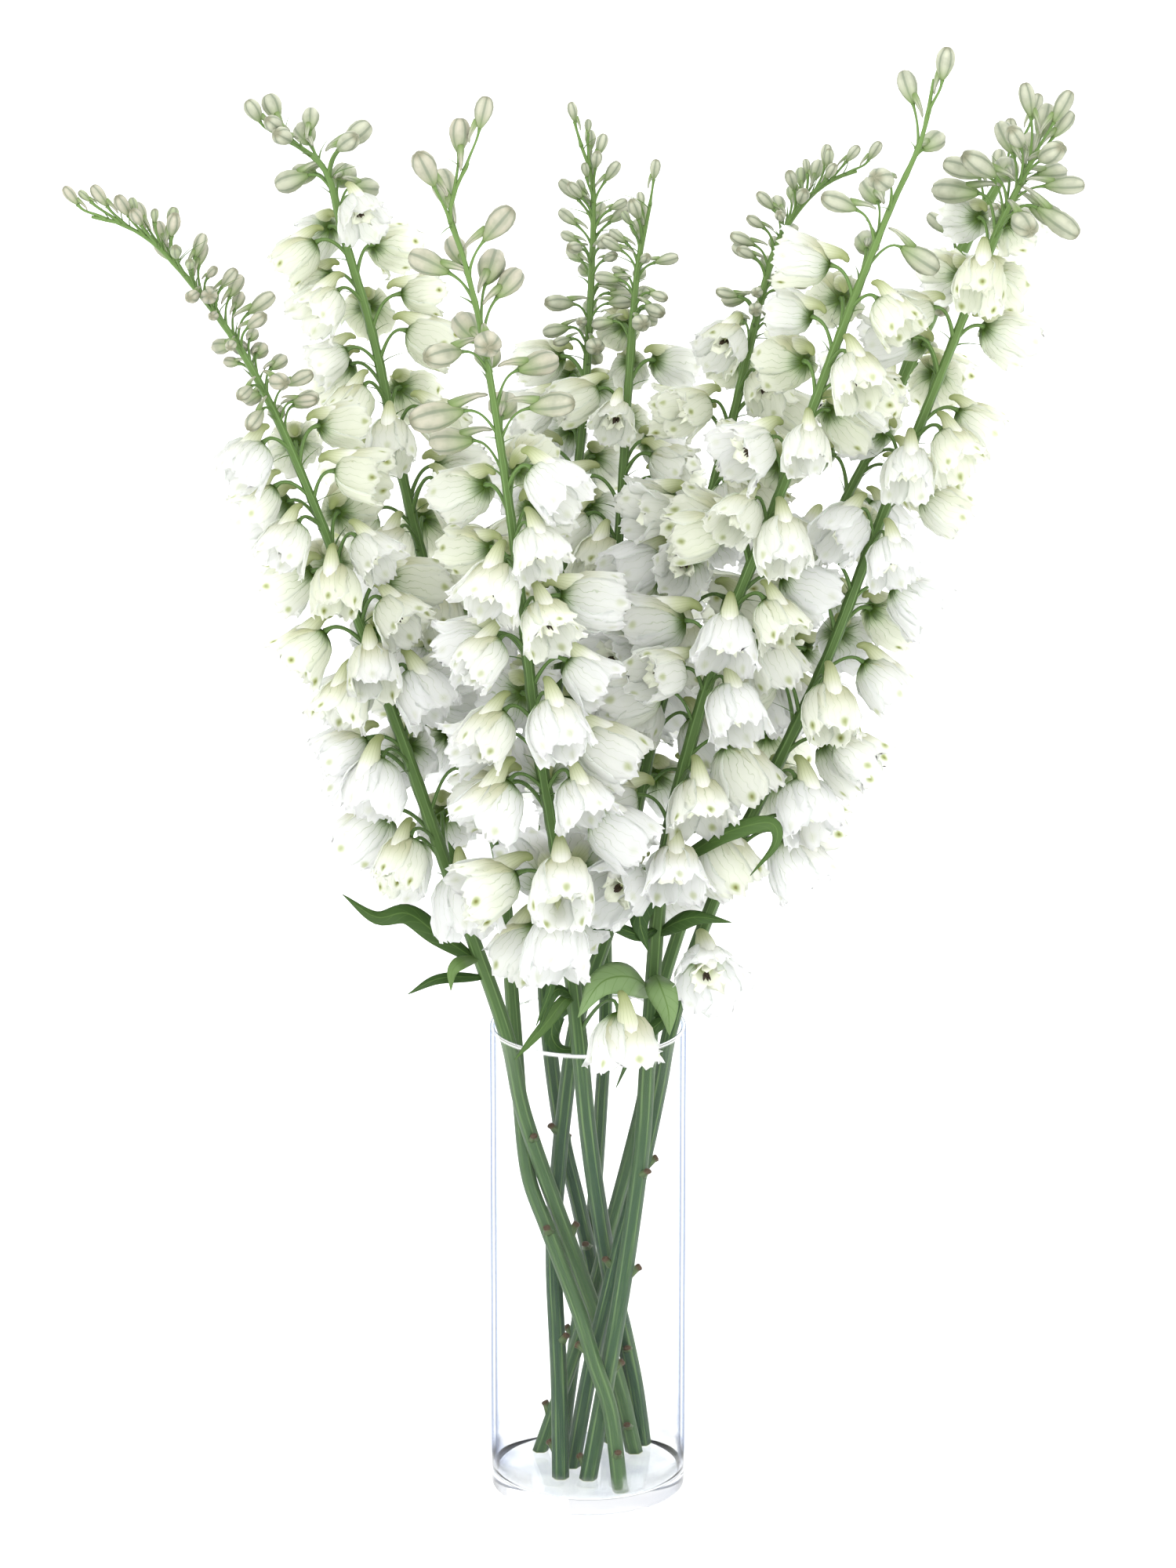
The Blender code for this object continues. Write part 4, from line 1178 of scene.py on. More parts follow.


# %% [markdown]
# ### Glass
#
# Clear glass shows itself by its edges: it is see-through where it is looked at straight on, and
# darker where it is seen edge on, at the rim and in the thick foot. A plain glass shader could do all
# of it, but two thin walls of it would shift and darken the stems. So the wall is see-through with a
# tint, and only the foot bends the light. The darkening seen edge on and the streaks low down are
# painted shade and reflection in that tint.

# %% Glass finish
GLASS_CLEAR = colour(0.995, 0.998, 1.0)
GLASS_EDGE_SHADE = colour(0.36, 0.42, 0.54)
GLASS_LINE_SHADE = colour(0.36, 0.42, 0.47)
GLASS_LOW_REFLECTION = colour(0.56, 0.60, 0.70)
GLASS_SOLE_SHADE = colour(0.72, 0.76, 0.84)
GLASS_IOR = 1.45
GLASS_STREAKS = (28.0, 28.0, 120.0)
STREAK_DETAIL = 4.0
STREAK_RANGE = (0.42, 0.62)
RIM_HEIGHTS = (0.2970, 0.2990)
LOW_REFLECTION_BY_HEIGHT = (0.015, 0.075, 1.0, 0.0)
LOW_REFLECTION_BY_EDGE = (0.25, 0.8, 0.05, 0.9)
SOLE_SHADE_BY_HEIGHT = (0.002, 0.011, 0.75, 0.0)
SOLE_SHADE_BY_STREAK = (0.0, 1.0, 0.4, 1.0)
EDGE_SHADE_RANGE = (0.66, 0.95)
RIM_SHADE_RANGE = (0.45, 0.85)
WALL_SHINE = (0.3, 1.0, 0.006, 0.1)
RIM_SHINE = (0.5, 0.9, 0.6, 0.1)
FOOT_FADE = (0.010, 0.026, 1.0, 0.0)


def glass_finish():
    """Clear glass with painted blue-grey outlines, and thick glass that bends light at its foot.

    The thin wall lets what is behind it through unbent, with a faint gloss. Its tint is darkened where
    it is seen edge on and at the rim, as painted shade and reflection, and along the very bottom as
    painted shade. Low on the wall and at the foot, painted reflection and shade lie in streaks.
    Shadows and soft light pass as if it weren't there.
    """
    made, tree = new_finish("glass_finish")
    facing = add(tree, "ShaderNodeLayerWeight", {"Blend": 0.5}).outputs["Facing"]
    height = height_of(tree)
    rim = ramp(tree, height, *RIM_HEIGHTS)
    squeezed = add(tree, "ShaderNodeVectorMath", {0: place_of(tree), 1: GLASS_STREAKS}, operation="MULTIPLY")
    streak = ramp(tree, noise(tree, 1.0, STREAK_DETAIL, squeezed.outputs[0]), *STREAK_RANGE)
    # A streaky blue-grey low on the wall, where it is seen edge on, is painted reflection
    low_reflection = times(tree, streak, ramp(tree, height, *LOW_REFLECTION_BY_HEIGHT))
    low_reflection = times(tree, low_reflection, ramp(tree, facing, *LOW_REFLECTION_BY_EDGE))
    # A streaky blue-grey over the bottom of the foot is painted shade and reflection
    sole_shade = times(tree, ramp(tree, height, *SOLE_SHADE_BY_HEIGHT), ramp(tree, streak, *SOLE_SHADE_BY_STREAK))
    # Where the wall is seen edge on, and more so at the rim, the tint is darkened as painted shade and
    # reflection
    tint = blend(tree, ramp(tree, facing, *EDGE_SHADE_RANGE), GLASS_CLEAR, GLASS_EDGE_SHADE)
    tint = blend(tree, times(tree, rim, ramp(tree, facing, *RIM_SHADE_RANGE)), tint, GLASS_LINE_SHADE)
    tint = blend(tree, low_reflection, tint, GLASS_LOW_REFLECTION)
    tint = blend(tree, sole_shade, tint, GLASS_SOLE_SHADE)
    # A darker line along the very bottom, where the glass stands on the floor, is painted shade
    tint = layers(tree, tint, [(height, 0.0004, 0.0016, 0.6, 0.0, GLASS_LINE_SHADE)])
    clear = add(tree, "ShaderNodeBsdfTransparent", {"Color": tint}).outputs[0]
    gloss = add(tree, "ShaderNodeBsdfGlossy", {"Color": WHITE, "Roughness": 0.0}).outputs[0]
    rim_shine = times(tree, rim, ramp(tree, facing, *RIM_SHINE))
    shine = maths(tree, "MAXIMUM", ramp(tree, facing, *WALL_SHINE), rim_shine)
    wall = add(tree, "ShaderNodeMixShader", {0: shine, 1: clear, 2: gloss}).outputs[0]
    bent = {"Base Color": tint, "Roughness": 0.0, "IOR": GLASS_IOR, "Transmission Weight": 1.0}
    thick = add(tree, "ShaderNodeBsdfPrincipled", bent).outputs[0]
    foot = ramp(tree, height, *FOOT_FADE)
    body = add(tree, "ShaderNodeMixShader", {0: foot, 1: wall, 2: thick}).outputs[0]
    empty = add(tree, "ShaderNodeBsdfTransparent", {"Color": WHITE}).outputs[0]
    rays = add(tree, "ShaderNodeLightPath").outputs
    indirect = maths(tree, "MAXIMUM", rays["Is Shadow Ray"], rays["Is Diffuse Ray"])
    surface = add(tree, "ShaderNodeMixShader", {0: indirect, 1: body, 2: empty}).outputs[0]
    add(tree, "ShaderNodeOutputMaterial", {"Surface": surface})
    return made


# %% Make the finishes
PETAL = petal_finish()
SPUR = spur_finish()
HEART = heart_finish()
ANTHER = anther_finish()
BUD = bud_finish()
STEM = stem_finish()
LEAF = leaf_finish()
GLASS = glass_finish()
print("finishes:", len(bpy.data.materials))

# %% [markdown]
# ## Florets
#
# What look like petals are five sepals. Each is a grid: rows run from the base to the tip along a
# bell's profile, and columns run round the bell on an arc. One edge lies over the next sepal and
# the other lies under, and the edge is ruffled. Some bells are open, and their profile flares. One
# sepal could be made and copied, but then all would share one frill, so all are worked out at once.

# %% Places round a head
def frames_of(items):
    """Necks, axes, tops, sides, widths and lengths of these heads, as arrays."""
    neck = np.array([item["path"][-1] for item in items])
    axis = np.array([item["axis"] for item in items])
    top = np.array([item["top"] for item in items])
    width = np.array([item["width"] for item in items])
    length = np.array([item["length"] for item in items])
    return neck, axis, top, np.cross(axis, top), width, length


def curve_at(knots, share):
    """A smooth curve through the knots, read at shares of its length."""
    points = smooth_route(knots)
    length = running_length(points)
    place = np.asarray(share) * length[-1]
    return np.stack([np.interp(place, length, points[:, i]) for i in range(points.shape[1])], axis=-1)


def grid_uv(rows, columns):
    """U runs across the columns and V along the rows, both from 0 to 1."""
    across = (columns - columns[0]) / (columns[-1] - columns[0])
    return np.stack(np.broadcast_arrays(across[None, :], rows[:, None]), axis=-1)[None]


def around_axis(top, side, angle):
    """The outward and the roundabout direction at each angle from the side towards the top.

    Outward is cos side + sin top, and roundabout is cos top - sin side.
    """
    cos = np.cos(angle)[..., None]
    sin = np.sin(angle)[..., None]
    return cos * side[:, None] + sin * top[:, None], -sin * side[:, None] + cos * top[:, None]


# %% Ruffled petals
SEPAL_CRINKLE = 0.012
SEPAL_TEETH = 0.022
SEPAL_RIPPLE = 0.05
SEPAL_STRETCH = (-0.05, 0.05)
SEPAL_BROAD = (-0.08, 0.08)
SEPAL_FLARE = (-0.05, 0.09)
FRILL_WAVES = (7, 11)
TIP_WAVES = (4, 7)
RIPPLE_WAVES = (5, 9)
FRILL_SLANT = 1.5
SECTION_SHARE = 1.1
SECTION_LEAST = 0.03
TEETH_ASIDE = 0.6
TIP_FORWARD = 0.7


def leaflets(items, angle, profile, half, rows, columns, rng, overlap, ruffle, rounding, crinkle):
    """Grids of petals set round each head's axis.

    profile holds each row's share of the length and of the width, one for each head and petal.
    The section of a petal is an arc about as wide as the bell: sideways is R sin(a) and inwards is
    R (1 - cos(a)), where a is the way along the arc divided by R. u runs from base to tip and v
    from edge to edge. On top come a frill |v|^2 u sin(wave) at the edges, a ripple sin(wave) u^5
    near the tip, small teeth, and a random crinkle near the border.
    """
    neck, axis, top, side, width, length = frames_of(items)
    out, about = around_axis(top, side, angle)
    shape = (*angle.shape, 1, 1)
    u = rows[:, None]
    v = columns[None, :]
    stretch = 1 + rng.uniform(*SEPAL_STRETCH, shape)
    broad = 1 + rng.uniform(*SEPAL_BROAD, shape)
    flare = rng.uniform(*SEPAL_FLARE, shape) * u**2
    radius = profile[..., 1][..., None] + flare
    curl = SECTION_SHARE * radius + SECTION_LEAST
    arc = half[:, None] * broad * v / curl
    wave = rng.uniform(0, FULL_TURN, shape) + rng.uniform(*FRILL_WAVES, shape) * u + FRILL_SLANT * v
    frill = ruffle * np.abs(v) ** 2 * u * np.sin(wave)
    wave = rng.uniform(0, FULL_TURN, shape) + rng.uniform(*TIP_WAVES, shape) * v
    tip = ruffle * np.sin(wave) * u**4
    border = np.maximum(np.abs(v) ** 6, u**8) * np.minimum(1, 2 * u)
    rough = crinkle * rng.normal(size=(3, *angle.shape, len(rows), len(columns))) * border
    wave = rng.uniform(0, FULL_TURN, shape) + rng.uniform(*RIPPLE_WAVES, shape) * v
    ripple = SEPAL_RIPPLE * np.sin(wave) * u**5
    teeth = SEPAL_TEETH * (-1.0) ** (np.arange(len(rows))[:, None] + np.arange(len(columns)))
    sideways = curl * np.sin(arc) + rough[0] + TEETH_ASIDE * teeth * v**7 * u
    radial = (radius - curl * (1 - np.cos(arc)) + overlap * v * np.minimum(1, 4 * u)
              + frill + ripple + rough[1])
    forward = (profile[..., 0][..., None] * stretch - rounding * v**2 * u**2 + TIP_FORWARD * tip
               + teeth * u**10 + rough[2])
    size = width[:, None, None, None]
    long = length[:, None, None, None]
    grids = (neck[:, None, None, None]
             + (forward * long)[..., None] * axis[:, None, None, None]
             + (radial * size)[..., None] * out[:, :, None, None]
             + (sideways * size)[..., None] * about[:, :, None, None])
    return grids.reshape(-1, *grids.shape[2:])


# %% Sepals
SEPALS = 5
SEPAL_ROWS = np.array([0.0, 0.06, 0.17, 0.32, 0.5, 0.68, 0.82, 0.92, 1.0])
SEPAL_COLUMNS = np.linspace(-1.0, 1.0, 11)
SEPAL_THICKNESS = 0.35
CLOSED_PROFILE = [(0.0, 0.03), (0.06, 0.22), (0.22, 0.40), (0.45, 0.485), (0.68, 0.49),
                  (0.86, 0.46), (1.0, 0.41)]
OPEN_PROFILE = [(0.0, 0.03), (0.06, 0.20), (0.20, 0.38), (0.40, 0.46), (0.60, 0.50),
                (0.77, 0.55), (0.88, 0.60)]
SEPAL_HALF_WIDTHS = ((0.0, 0.05), (0.1, 0.17), (0.3, 0.33), (0.6, 0.42), (0.8, 0.43),
                     (0.92, 0.39), (1.0, 0.28))
SEPAL_OVERLAP = 0.035
SEPAL_RUFFLE = 0.038
SEPAL_ROUND = 0.10
CLOSED_SPREAD = (0.08, 0.75)
SEPAL_SPLAY = 0.2
SEPAL_OPENEST = 1.15
SEPAL_TURN = 0.07
SEPAL_SHADES = 0.12
UPPER_CHANCE = 1.0


def sepals(items, chance, rng):
    """The five sepals of each floret. Their profile goes from the closed to the open one."""
    spread = np.array([1.0 if item["open"] else rng.uniform(*CLOSED_SPREAD) for item in items])
    each = (len(items), SEPALS)
    spread = np.clip(spread[:, None] + rng.uniform(-SEPAL_SPLAY, SEPAL_SPLAY, each), 0, SEPAL_OPENEST)
    closed = curve_at(CLOSED_PROFILE, SEPAL_ROWS)
    opened = curve_at(OPEN_PROFILE, SEPAL_ROWS)
    profile = closed + spread[..., None, None] * (opened - closed)
    half = np.interp(SEPAL_ROWS, *np.transpose(SEPAL_HALF_WIDTHS))
    angle = FULL_TURN / 4 + FULL_TURN * np.arange(SEPALS) / SEPALS
    angle = angle + rng.uniform(-SEPAL_TURN, SEPAL_TURN, each)
    grids = leaflets(items, angle, profile, half, SEPAL_ROWS, SEPAL_COLUMNS, rng, SEPAL_OVERLAP,
                     SEPAL_RUFFLE, SEPAL_ROUND, SEPAL_CRINKLE)
    shade = np.clip(chance[:, None] + rng.uniform(-SEPAL_SHADES, SEPAL_SHADES, each), 0, 1)
    shade[:, 0] += UPPER_CHANCE
    return sheets(grids, SEPAL_THICKNESS, grid_uv(SEPAL_ROWS, SEPAL_COLUMNS), shade.reshape(-1))


# %% [markdown]
# Inside a floret sit four small ruffled petals, and in front of them a tuft of dark anthers on thin
# filaments. The spur starts as a low ridge on the top sepal, runs back over the stalk and dips at
# its end. It could be pulled out of the sepal's own grid, but a tube of its own, half sunk in the
# sepal, keeps both shapes simple.

# %% Inner petals
HEARTS = 4
HEART_ROWS = np.array([0.0, 0.3, 0.55, 0.8, 1.0])
HEART_COLUMNS = np.linspace(-1.0, 1.0, 4)
HEART_PROFILE = [(0.10, 0.05), (0.26, 0.13), (0.42, 0.15), (0.55, 0.20), (0.60, 0.26)]
HEART_HALF_WIDTHS = ((0.0, 0.05), (0.5, 0.13), (0.8, 0.17), (1.0, 0.12))
HEART_OVERLAP = 0.03
HEART_RUFFLE = 0.05
HEART_ROUND = 0.03
HEART_TURN = 0.2


def hearts(items, chance, rng):
    """The four inner petals of each floret."""
    profile = np.broadcast_to(curve_at(HEART_PROFILE, HEART_ROWS), (len(items), HEARTS, len(HEART_ROWS), 2))
    half = np.interp(HEART_ROWS, *np.transpose(HEART_HALF_WIDTHS))
    angle = FULL_TURN / 8 + FULL_TURN / 4 * np.arange(HEARTS)
    angle = angle + rng.uniform(-HEART_TURN, HEART_TURN, (len(items), HEARTS))
    grids = leaflets(items, angle, profile, half, HEART_ROWS, HEART_COLUMNS, rng, HEART_OVERLAP,
                     HEART_RUFFLE, HEART_ROUND, SEPAL_CRINKLE)
    return sheets(grids, SEPAL_THICKNESS, grid_uv(HEART_ROWS, HEART_COLUMNS), np.repeat(chance, HEARTS))


# %% Anthers
ANTHERS = 7
ANTHER_SIDES = 4
ANTHER_FOOT = 0.1
ANTHER_REACH = (0.36, 0.5)
ANTHER_LEAN = (0.03, 0.1)
ANTHER_STEPS = np.array([0.0, 0.5, 0.58, 0.72, 0.9, 1.0])
ANTHER_RADII = np.array([0.25, 0.25, 0.3, 0.85, 0.75, 0.25])


def anthers(items, rng):
    """A tuft of filaments in each floret, thick and dark at their ends."""
    neck, axis, top, side, width, length = frames_of(items)
    count = (len(items), ANTHERS)
    out, about = around_axis(top, side, rng.uniform(0, FULL_TURN, count))
    reach = rng.uniform(*ANTHER_REACH, count)[..., None, None] * length[:, None, None, None]
    lean = rng.uniform(*ANTHER_LEAN, count)[..., None, None] * width[:, None, None, None]
    share = ANTHER_STEPS[:, None]
    start = (neck + ANTHER_FOOT * length[:, None] * axis)[:, None, None]
    paths = start + reach * share * axis[:, None, None] + lean * share**1.5 * out[:, :, None]
    paths = paths.reshape(-1, len(ANTHER_STEPS), 3)
    radii = np.broadcast_to(ANTHER_RADII, paths.shape[:2])
    return tubes(paths, about.reshape(-1, 3), radii, radii, ANTHER_SIDES, np.zeros(len(paths)))


# %% Spurs
SPUR_KNOTS = [(0.68, 0.33), (0.44, 0.315), (0.2, 0.27), (0.0, 0.27), (-0.15, 0.27), (-0.27, 0.22),
              (-0.34, 0.12)]
SPUR_SHARES = np.array([0.0, 0.2, 0.31, 0.43, 0.55, 0.67, 0.78, 0.88, 0.96, 1.0])
SPUR_RADII = np.array([0.06, 0.14, 0.165, 0.175, 0.165, 0.135, 0.105, 0.08, 0.058, 0.022])
SPUR_SIDES = 10
SPUR_LIFT = (0.85, 1.1)


def spurs(items, chance, rng):
    """A spur on each floret, along a curve in the plane of its axis and top."""
    neck, axis, top, side, width, _ = frames_of(items)
    curve = curve_at(SPUR_KNOTS, SPUR_SHARES)
    lift = rng.uniform(*SPUR_LIFT, len(items))[:, None, None]
    size = width[:, None, None]
    paths = (neck[:, None] + curve[None, :, :1] * size * axis[:, None]
             + curve[None, :, 1:] * size * lift * top[:, None])
    radii = SPUR_RADII * width[:, None]
    return tubes(paths, side, radii, radii, SPUR_SIDES, chance)


# %% [markdown]
# ## Buds
#
# A bud is a plump tube with shallow seams where its sepals will part, a blunt notched tip and a
# short spur. Five closed petals would cost ten times the faces and look the same from here.

# %% Buds
BUD_SHARES = np.array([0.0, 0.05, 0.15, 0.32, 0.52, 0.72, 0.87, 0.96, 1.0])
BUD_RADII = np.array([0.11, 0.18, 0.30, 0.45, 0.56, 0.57, 0.49, 0.37, 0.19])
BUD_SIDES = 15
BUD_SEAMS = 5
BUD_SEAM_DEPTH = 0.09
BUD_NOTCH = 0.3
BUD_PLUMP = {"spike_b": 1.3, "spike_g": 1.08, "spike_c": 1.1, "spike_h": 0.95}
BUD_PLUMP_REST = 1.02
BUD_STRETCH = 1.1
BUD_SAG = 0.06
BUD_FLATTEN = 0.92
BUD_SPUR_SIDES = 6
BUD_SPUR_KNOTS = [(0.24, 0.24), (0.04, 0.32), (-0.16, 0.40), (-0.34, 0.43), (-0.50, 0.38)]
BUD_SPUR_SHARES = np.array([0.0, 0.25, 0.5, 0.75, 0.93, 1.0])
BUD_SPUR_RADII = np.array([0.18, 0.18, 0.14, 0.10, 0.065, 0.02])


def seams(turn):
    """Round the ring, radius dips by depth |cos(seams turn / 2)|, and more so at the notched tip."""
    depth = BUD_SEAM_DEPTH + BUD_NOTCH * BUD_SHARES[None, :, None] ** 6
    return 1 - depth * np.abs(np.cos(turn * BUD_SEAMS / 2))


def buds(items, chance, plump):
    """Buds with their spurs."""
    neck, axis, top, side, width, length = frames_of(items)
    width = width * plump
    length = length * BUD_STRETCH
    share = BUD_SHARES[None, :, None]
    long = length[:, None, None] * axis[:, None]
    high = width[:, None, None] * top[:, None]
    paths = neck[:, None] + share * long - BUD_SAG * share**2 * high
    radii = BUD_RADII * width[:, None]
    bodies = tubes(paths, side, radii, BUD_FLATTEN * radii, BUD_SIDES, chance, seams)
    curve = curve_at(BUD_SPUR_KNOTS, BUD_SPUR_SHARES)[None]
    tails = neck[:, None] + curve[..., :1] * long + curve[..., 1:] * high
    thick = BUD_SPUR_RADII * width[:, None]
    return [bodies, tubes(tails, side, thick, thick, BUD_SPUR_SIDES, chance)]


# %% [markdown]
# ## Stems, stalks, bracts and leaves
#
# A stem is a ribbed tube that swells a little where each stalk leaves it, and a thin bract sits
# under each stalk. Its cut end is level and stands on the glass floor, and stubs are left where
# leaves were stripped in the vase. A curve with a round bevel would be quicker to make, but it has
# no ribs and no swellings. Leaves are sheets along their mid-line, folded a little at the mid-rib.

# %% Stems
STEM_STEP = 6.0
STEM_SIDES = 18
STEM_RIB_DEPTH = 0.075
NODE_SWELL = 0.35
NODE_LENGTH = 3.0
BROAD_SPIKE = "spike_i"
BROAD_HEIGHT = 745.0
BROAD_REACH = 75.0
BROAD_EXTRA = 1.8


def ribs(turn):
    """Round the ring, radius rises at each rib: 1 + depth cos(ribs turn)."""
    return 1 + STEM_RIB_DEPTH * np.cos(STEM_RIBS * turn)


def stem_part(name, stem, items, chance):
    """The stem: a ribbed tube, swollen where stalks leave it, cut level at its foot.

    The swelling at each stalk is exp(-(distance / NODE_LENGTH)^2). One spike in the photograph has
    a broad stretch of stem near its top, and it gets extra radius there.
    """
    s = np.append(np.arange(0, stem["length"][-1] - STEM_STEP / 2, STEM_STEP), stem["length"][-1])
    path = along_stem(stem, s)
    leaving = np.array([item["s"] for item in items])
    swell = NODE_SWELL * np.exp(-((s[:, None] - leaving) / NODE_LENGTH) ** 2).max(axis=1)
    broad = BROAD_EXTRA * np.exp(-((path[:, 2] - BROAD_HEIGHT) / BROAD_REACH) ** 4) * (name == BROAD_SPIKE)
    radius = (stem_radius(stem, s) + swell + broad)[None]
    part = tubes(path[None], unit(np.cross(path[1] - path[0], FRONT))[None], radius, radius, STEM_SIDES,
                 np.array([chance]), ribs)
    along = unit(path[1] - path[0])
    foot = np.append(np.arange(STEM_SIDES), len(part["points"]) - 2)
    height = part["points"][foot, 2]
    part["points"][foot] += along * ((VASE_FLOOR + GAP - height) / along[2])[:, None]
    return part


# %% Stalks
STALK_STEPS = 12
STALK_SIDES = 6
STALK_KEYS = ((0.0, 1.9), (0.12, 1.4), (0.5, 1.1), (0.85, 1.2), (0.95, 1.6), (1.0, 2.1))
BUD_STALK_KEYS = ((0.0, 1.5), (0.15, 1.0), (0.6, 0.75), (0.9, 0.9), (1.0, 1.4))
STALK_THICKNESS = (0.9, 1.1)
STALK_CHANCE = (0.35, 0.9)


def stalks(items, keys, rng):
    """Stalks of these heads: Catmull-Rom spans through the points of each one's path."""
    knots = np.array([item["path"] for item in items])
    t = np.linspace(0, 1, STALK_STEPS)
    place = t * (STALK_POINTS - 1)
    low = np.minimum(place.astype(int), STALK_POINTS - 2)
    part = (place - low)[None, :, None]
    ahead = np.concatenate([knots, 2 * knots[:, -1:] - knots[:, -2:-1]], axis=1)
    behind = np.concatenate([2 * knots[:, :1] - knots[:, 1:2], knots], axis=1)
    a, b, c, d = behind[:, low], knots[:, low], knots[:, low + 1], ahead[:, low + 2]
    paths = span(a, b, c, d, part)
    side = np.array([np.cross(item["axis"], item["top"]) for item in items])
    radii = np.interp(t, *np.transpose(keys)) * rng.uniform(*STALK_THICKNESS, (len(items), 1))
    return tubes(paths, side, radii, radii, STALK_SIDES, rng.uniform(*STALK_CHANCE, len(items)))


# %% Bracts
BRACT_STEPS = 7
BRACT_LENGTH = (9.0, 21.0)
BRACT_CURL = (-0.6, 1.5)
BRACT_THICKNESS = ((0, 0.3, 1), (0.9, 1.1, 0.15))
BRACT_FLATTEN = 0.35
BRACT_DROP = 3.0
BRACT_UP = 0.8
BRACT_OUT = 0.4
BRACT_HANG = 0.4
BRACT_SIDES = 4
BRACT_CHANCE = (0.1, 0.8)


def bracts(stem, items, rng):
    """A thin bract under each stalk: up and out from the stem, then away by the square of the reach."""
    neck = frames_of(items)[0]
    root = np.array([item["path"][0] for item in items])
    along = stem_at(stem, np.array([item["s"] for item in items]) - BRACT_DROP)[1]
    out = neck - root
    out = unit(out - along * np.sum(out * along, axis=-1, keepdims=True))
    reach = rng.uniform(*BRACT_LENGTH, (len(items), 1, 1))
    curl = rng.uniform(*BRACT_CURL, (len(items), 1, 1))
    rise = BRACT_UP * along + BRACT_OUT * out
    t = np.linspace(0, 1, BRACT_STEPS)[None, :, None]
    paths = (root[:, None] - BRACT_DROP * along[:, None] + reach * t * rise[:, None]
             + reach * curl * t**2 * (out - BRACT_HANG * along)[:, None])
    across = np.broadcast_to(np.interp(t[0, :, 0], *BRACT_THICKNESS), paths.shape[:2])
    return tubes(paths, np.cross(along, out), across, BRACT_FLATTEN * across, BRACT_SIDES,
                 rng.uniform(*BRACT_CHANCE, len(items)))


# %% Stubs of stripped leaves
SCAR_HEIGHTS = (22, 250)
SCAR_STEP = 66.0
SCAR_SHIFT = 15
SCAR_REACH = np.array([0.5, 1.0, 1.42, 1.8, 1.92])
SCAR_RADII = np.array([3.9, 3.0, 2.3, 2.5, 1.5])
SCAR_FLATTEN = 0.7
SCAR_RISE = 0.8
SCAR_SIDES = 7


def scars(stem, rng):
    """Short brown stubs where leaves were stripped from the stem inside the vase."""
    s = lengths_at(stem, np.arange(*SCAR_HEIGHTS, SCAR_STEP) + rng.uniform(-SCAR_SHIFT, SCAR_SHIFT))
    place, along = stem_at(stem, s)
    turn = rng.uniform(0, FULL_TURN, (len(s), 1))
    side = unit(np.cross(along, FRONT))
    out = outward(along, turn)
    radius = stem_radius(stem, s)[:, None, None]
    t = SCAR_REACH[None, :, None]
    paths = (place[:, None] + radius * t * out[:, None]
             + SCAR_RISE * radius * (t - SCAR_REACH[0]) * along[:, None])
    across = np.broadcast_to(SCAR_RADII, paths.shape[:2])
    return tubes(paths, side, across, SCAR_FLATTEN * across, SCAR_SIDES, np.ones(len(s)))


# %% Leaves
LEAF_THICKNESS = 0.6
LEAF_FOOT = 0.8
LEAF_TILT = 0.8
LEAF_COLUMNS = np.linspace(-1.0, 1.0, 7)
LEAF_FOLD = 0.25
LEAF_STEPS = 6
LEAF_WAVE = 0.06
LEAF_WAVES = 11
LEAF_WAVE_START = 2
LEAF_SKEW = 0.75
LEAF_TAPER = 0.8


def leaf(stem, height, route, width, chance):
    """A strap leaf: half its width is W/2 sin(pi t^skew), and it folds up towards its two edges."""
    line = smooth_route([leaf_root(stem, height), *route], LEAF_STEPS)
    share = np.linspace(0, 1, len(line))
    half = 0.5 * width * np.sin(np.pi * share**LEAF_SKEW) + LEAF_FOOT * (1 - LEAF_TAPER * share)
    along = unit(np.gradient(line, axis=0))
    side = unit(np.cross(along, FRONT + LEAF_TILT * UP))
    lift = np.cross(along, side)
    v = LEAF_COLUMNS[None, :, None]
    wave = LEAF_WAVE * np.sin(LEAF_WAVES * share + LEAF_WAVE_START)[:, None, None] * v
    across = v * side[:, None] + (LEAF_FOLD * np.abs(v) + wave) * lift[:, None]
    grid = line[:, None] + half[:, None, None] * across
    return sheets(grid[None], LEAF_THICKNESS, grid_uv(share, LEAF_COLUMNS), np.array([chance]))


# %% [markdown]
# ## Build the spikes
#
# Each spike could be one mesh with many materials. Instead it becomes a few pieces, one for each
# finish, that together replace its solid, so that each can be found by its name.

# %% Build the spikes
LOOK_SEED = 29
STEM_CHANCE = (0.1, 0.75)
BUD_TONES = {"spike_a": (0.55, 1.0), "spike_c": (0.6, 1.0)}
BUD_TONE = (0.0, 0.45)
look = np.random.default_rng(LOOK_SEED)

for name, stem in stems.items():
    items = placed[name]
    florets = [item for item in items if item["kind"] == "floret"]
    tips = [item for item in items if item["kind"] == "bud"]
    plump = BUD_PLUMP.get(name, BUD_PLUMP_REST)
    chance = look.random(len(florets))
    green = [stem_part(name, stem, items, look.uniform(*STEM_CHANCE)), stalks(florets, STALK_KEYS, look),
             stalks(tips, BUD_STALK_KEYS, look), bracts(stem, items, look), scars(stem, look)]
    make_piece(f"{name}_stem", green, STEM, name)
    for part, made, finish in ("sepals", sepals, PETAL), ("spurs", spurs, SPUR), ("hearts", hearts, HEART):
        make_piece(f"{name}_{part}", [made(florets, chance, look)], finish, name)
    make_piece(f"{name}_anthers", [anthers(florets, look)], ANTHER, name)
    tones = look.uniform(*BUD_TONES.get(name, BUD_TONE), len(tips)) + [item["young"] for item in tips]
    make_piece(f"{name}_buds", buds(tips, tones, plump), BUD, name)
    own = [leaf(stem, *rest) for owner, *rest in LEAVES + SMALL_LEAVES if owner == name]
    if own:
        make_piece(f"{name}_leaves", own, LEAF, name)

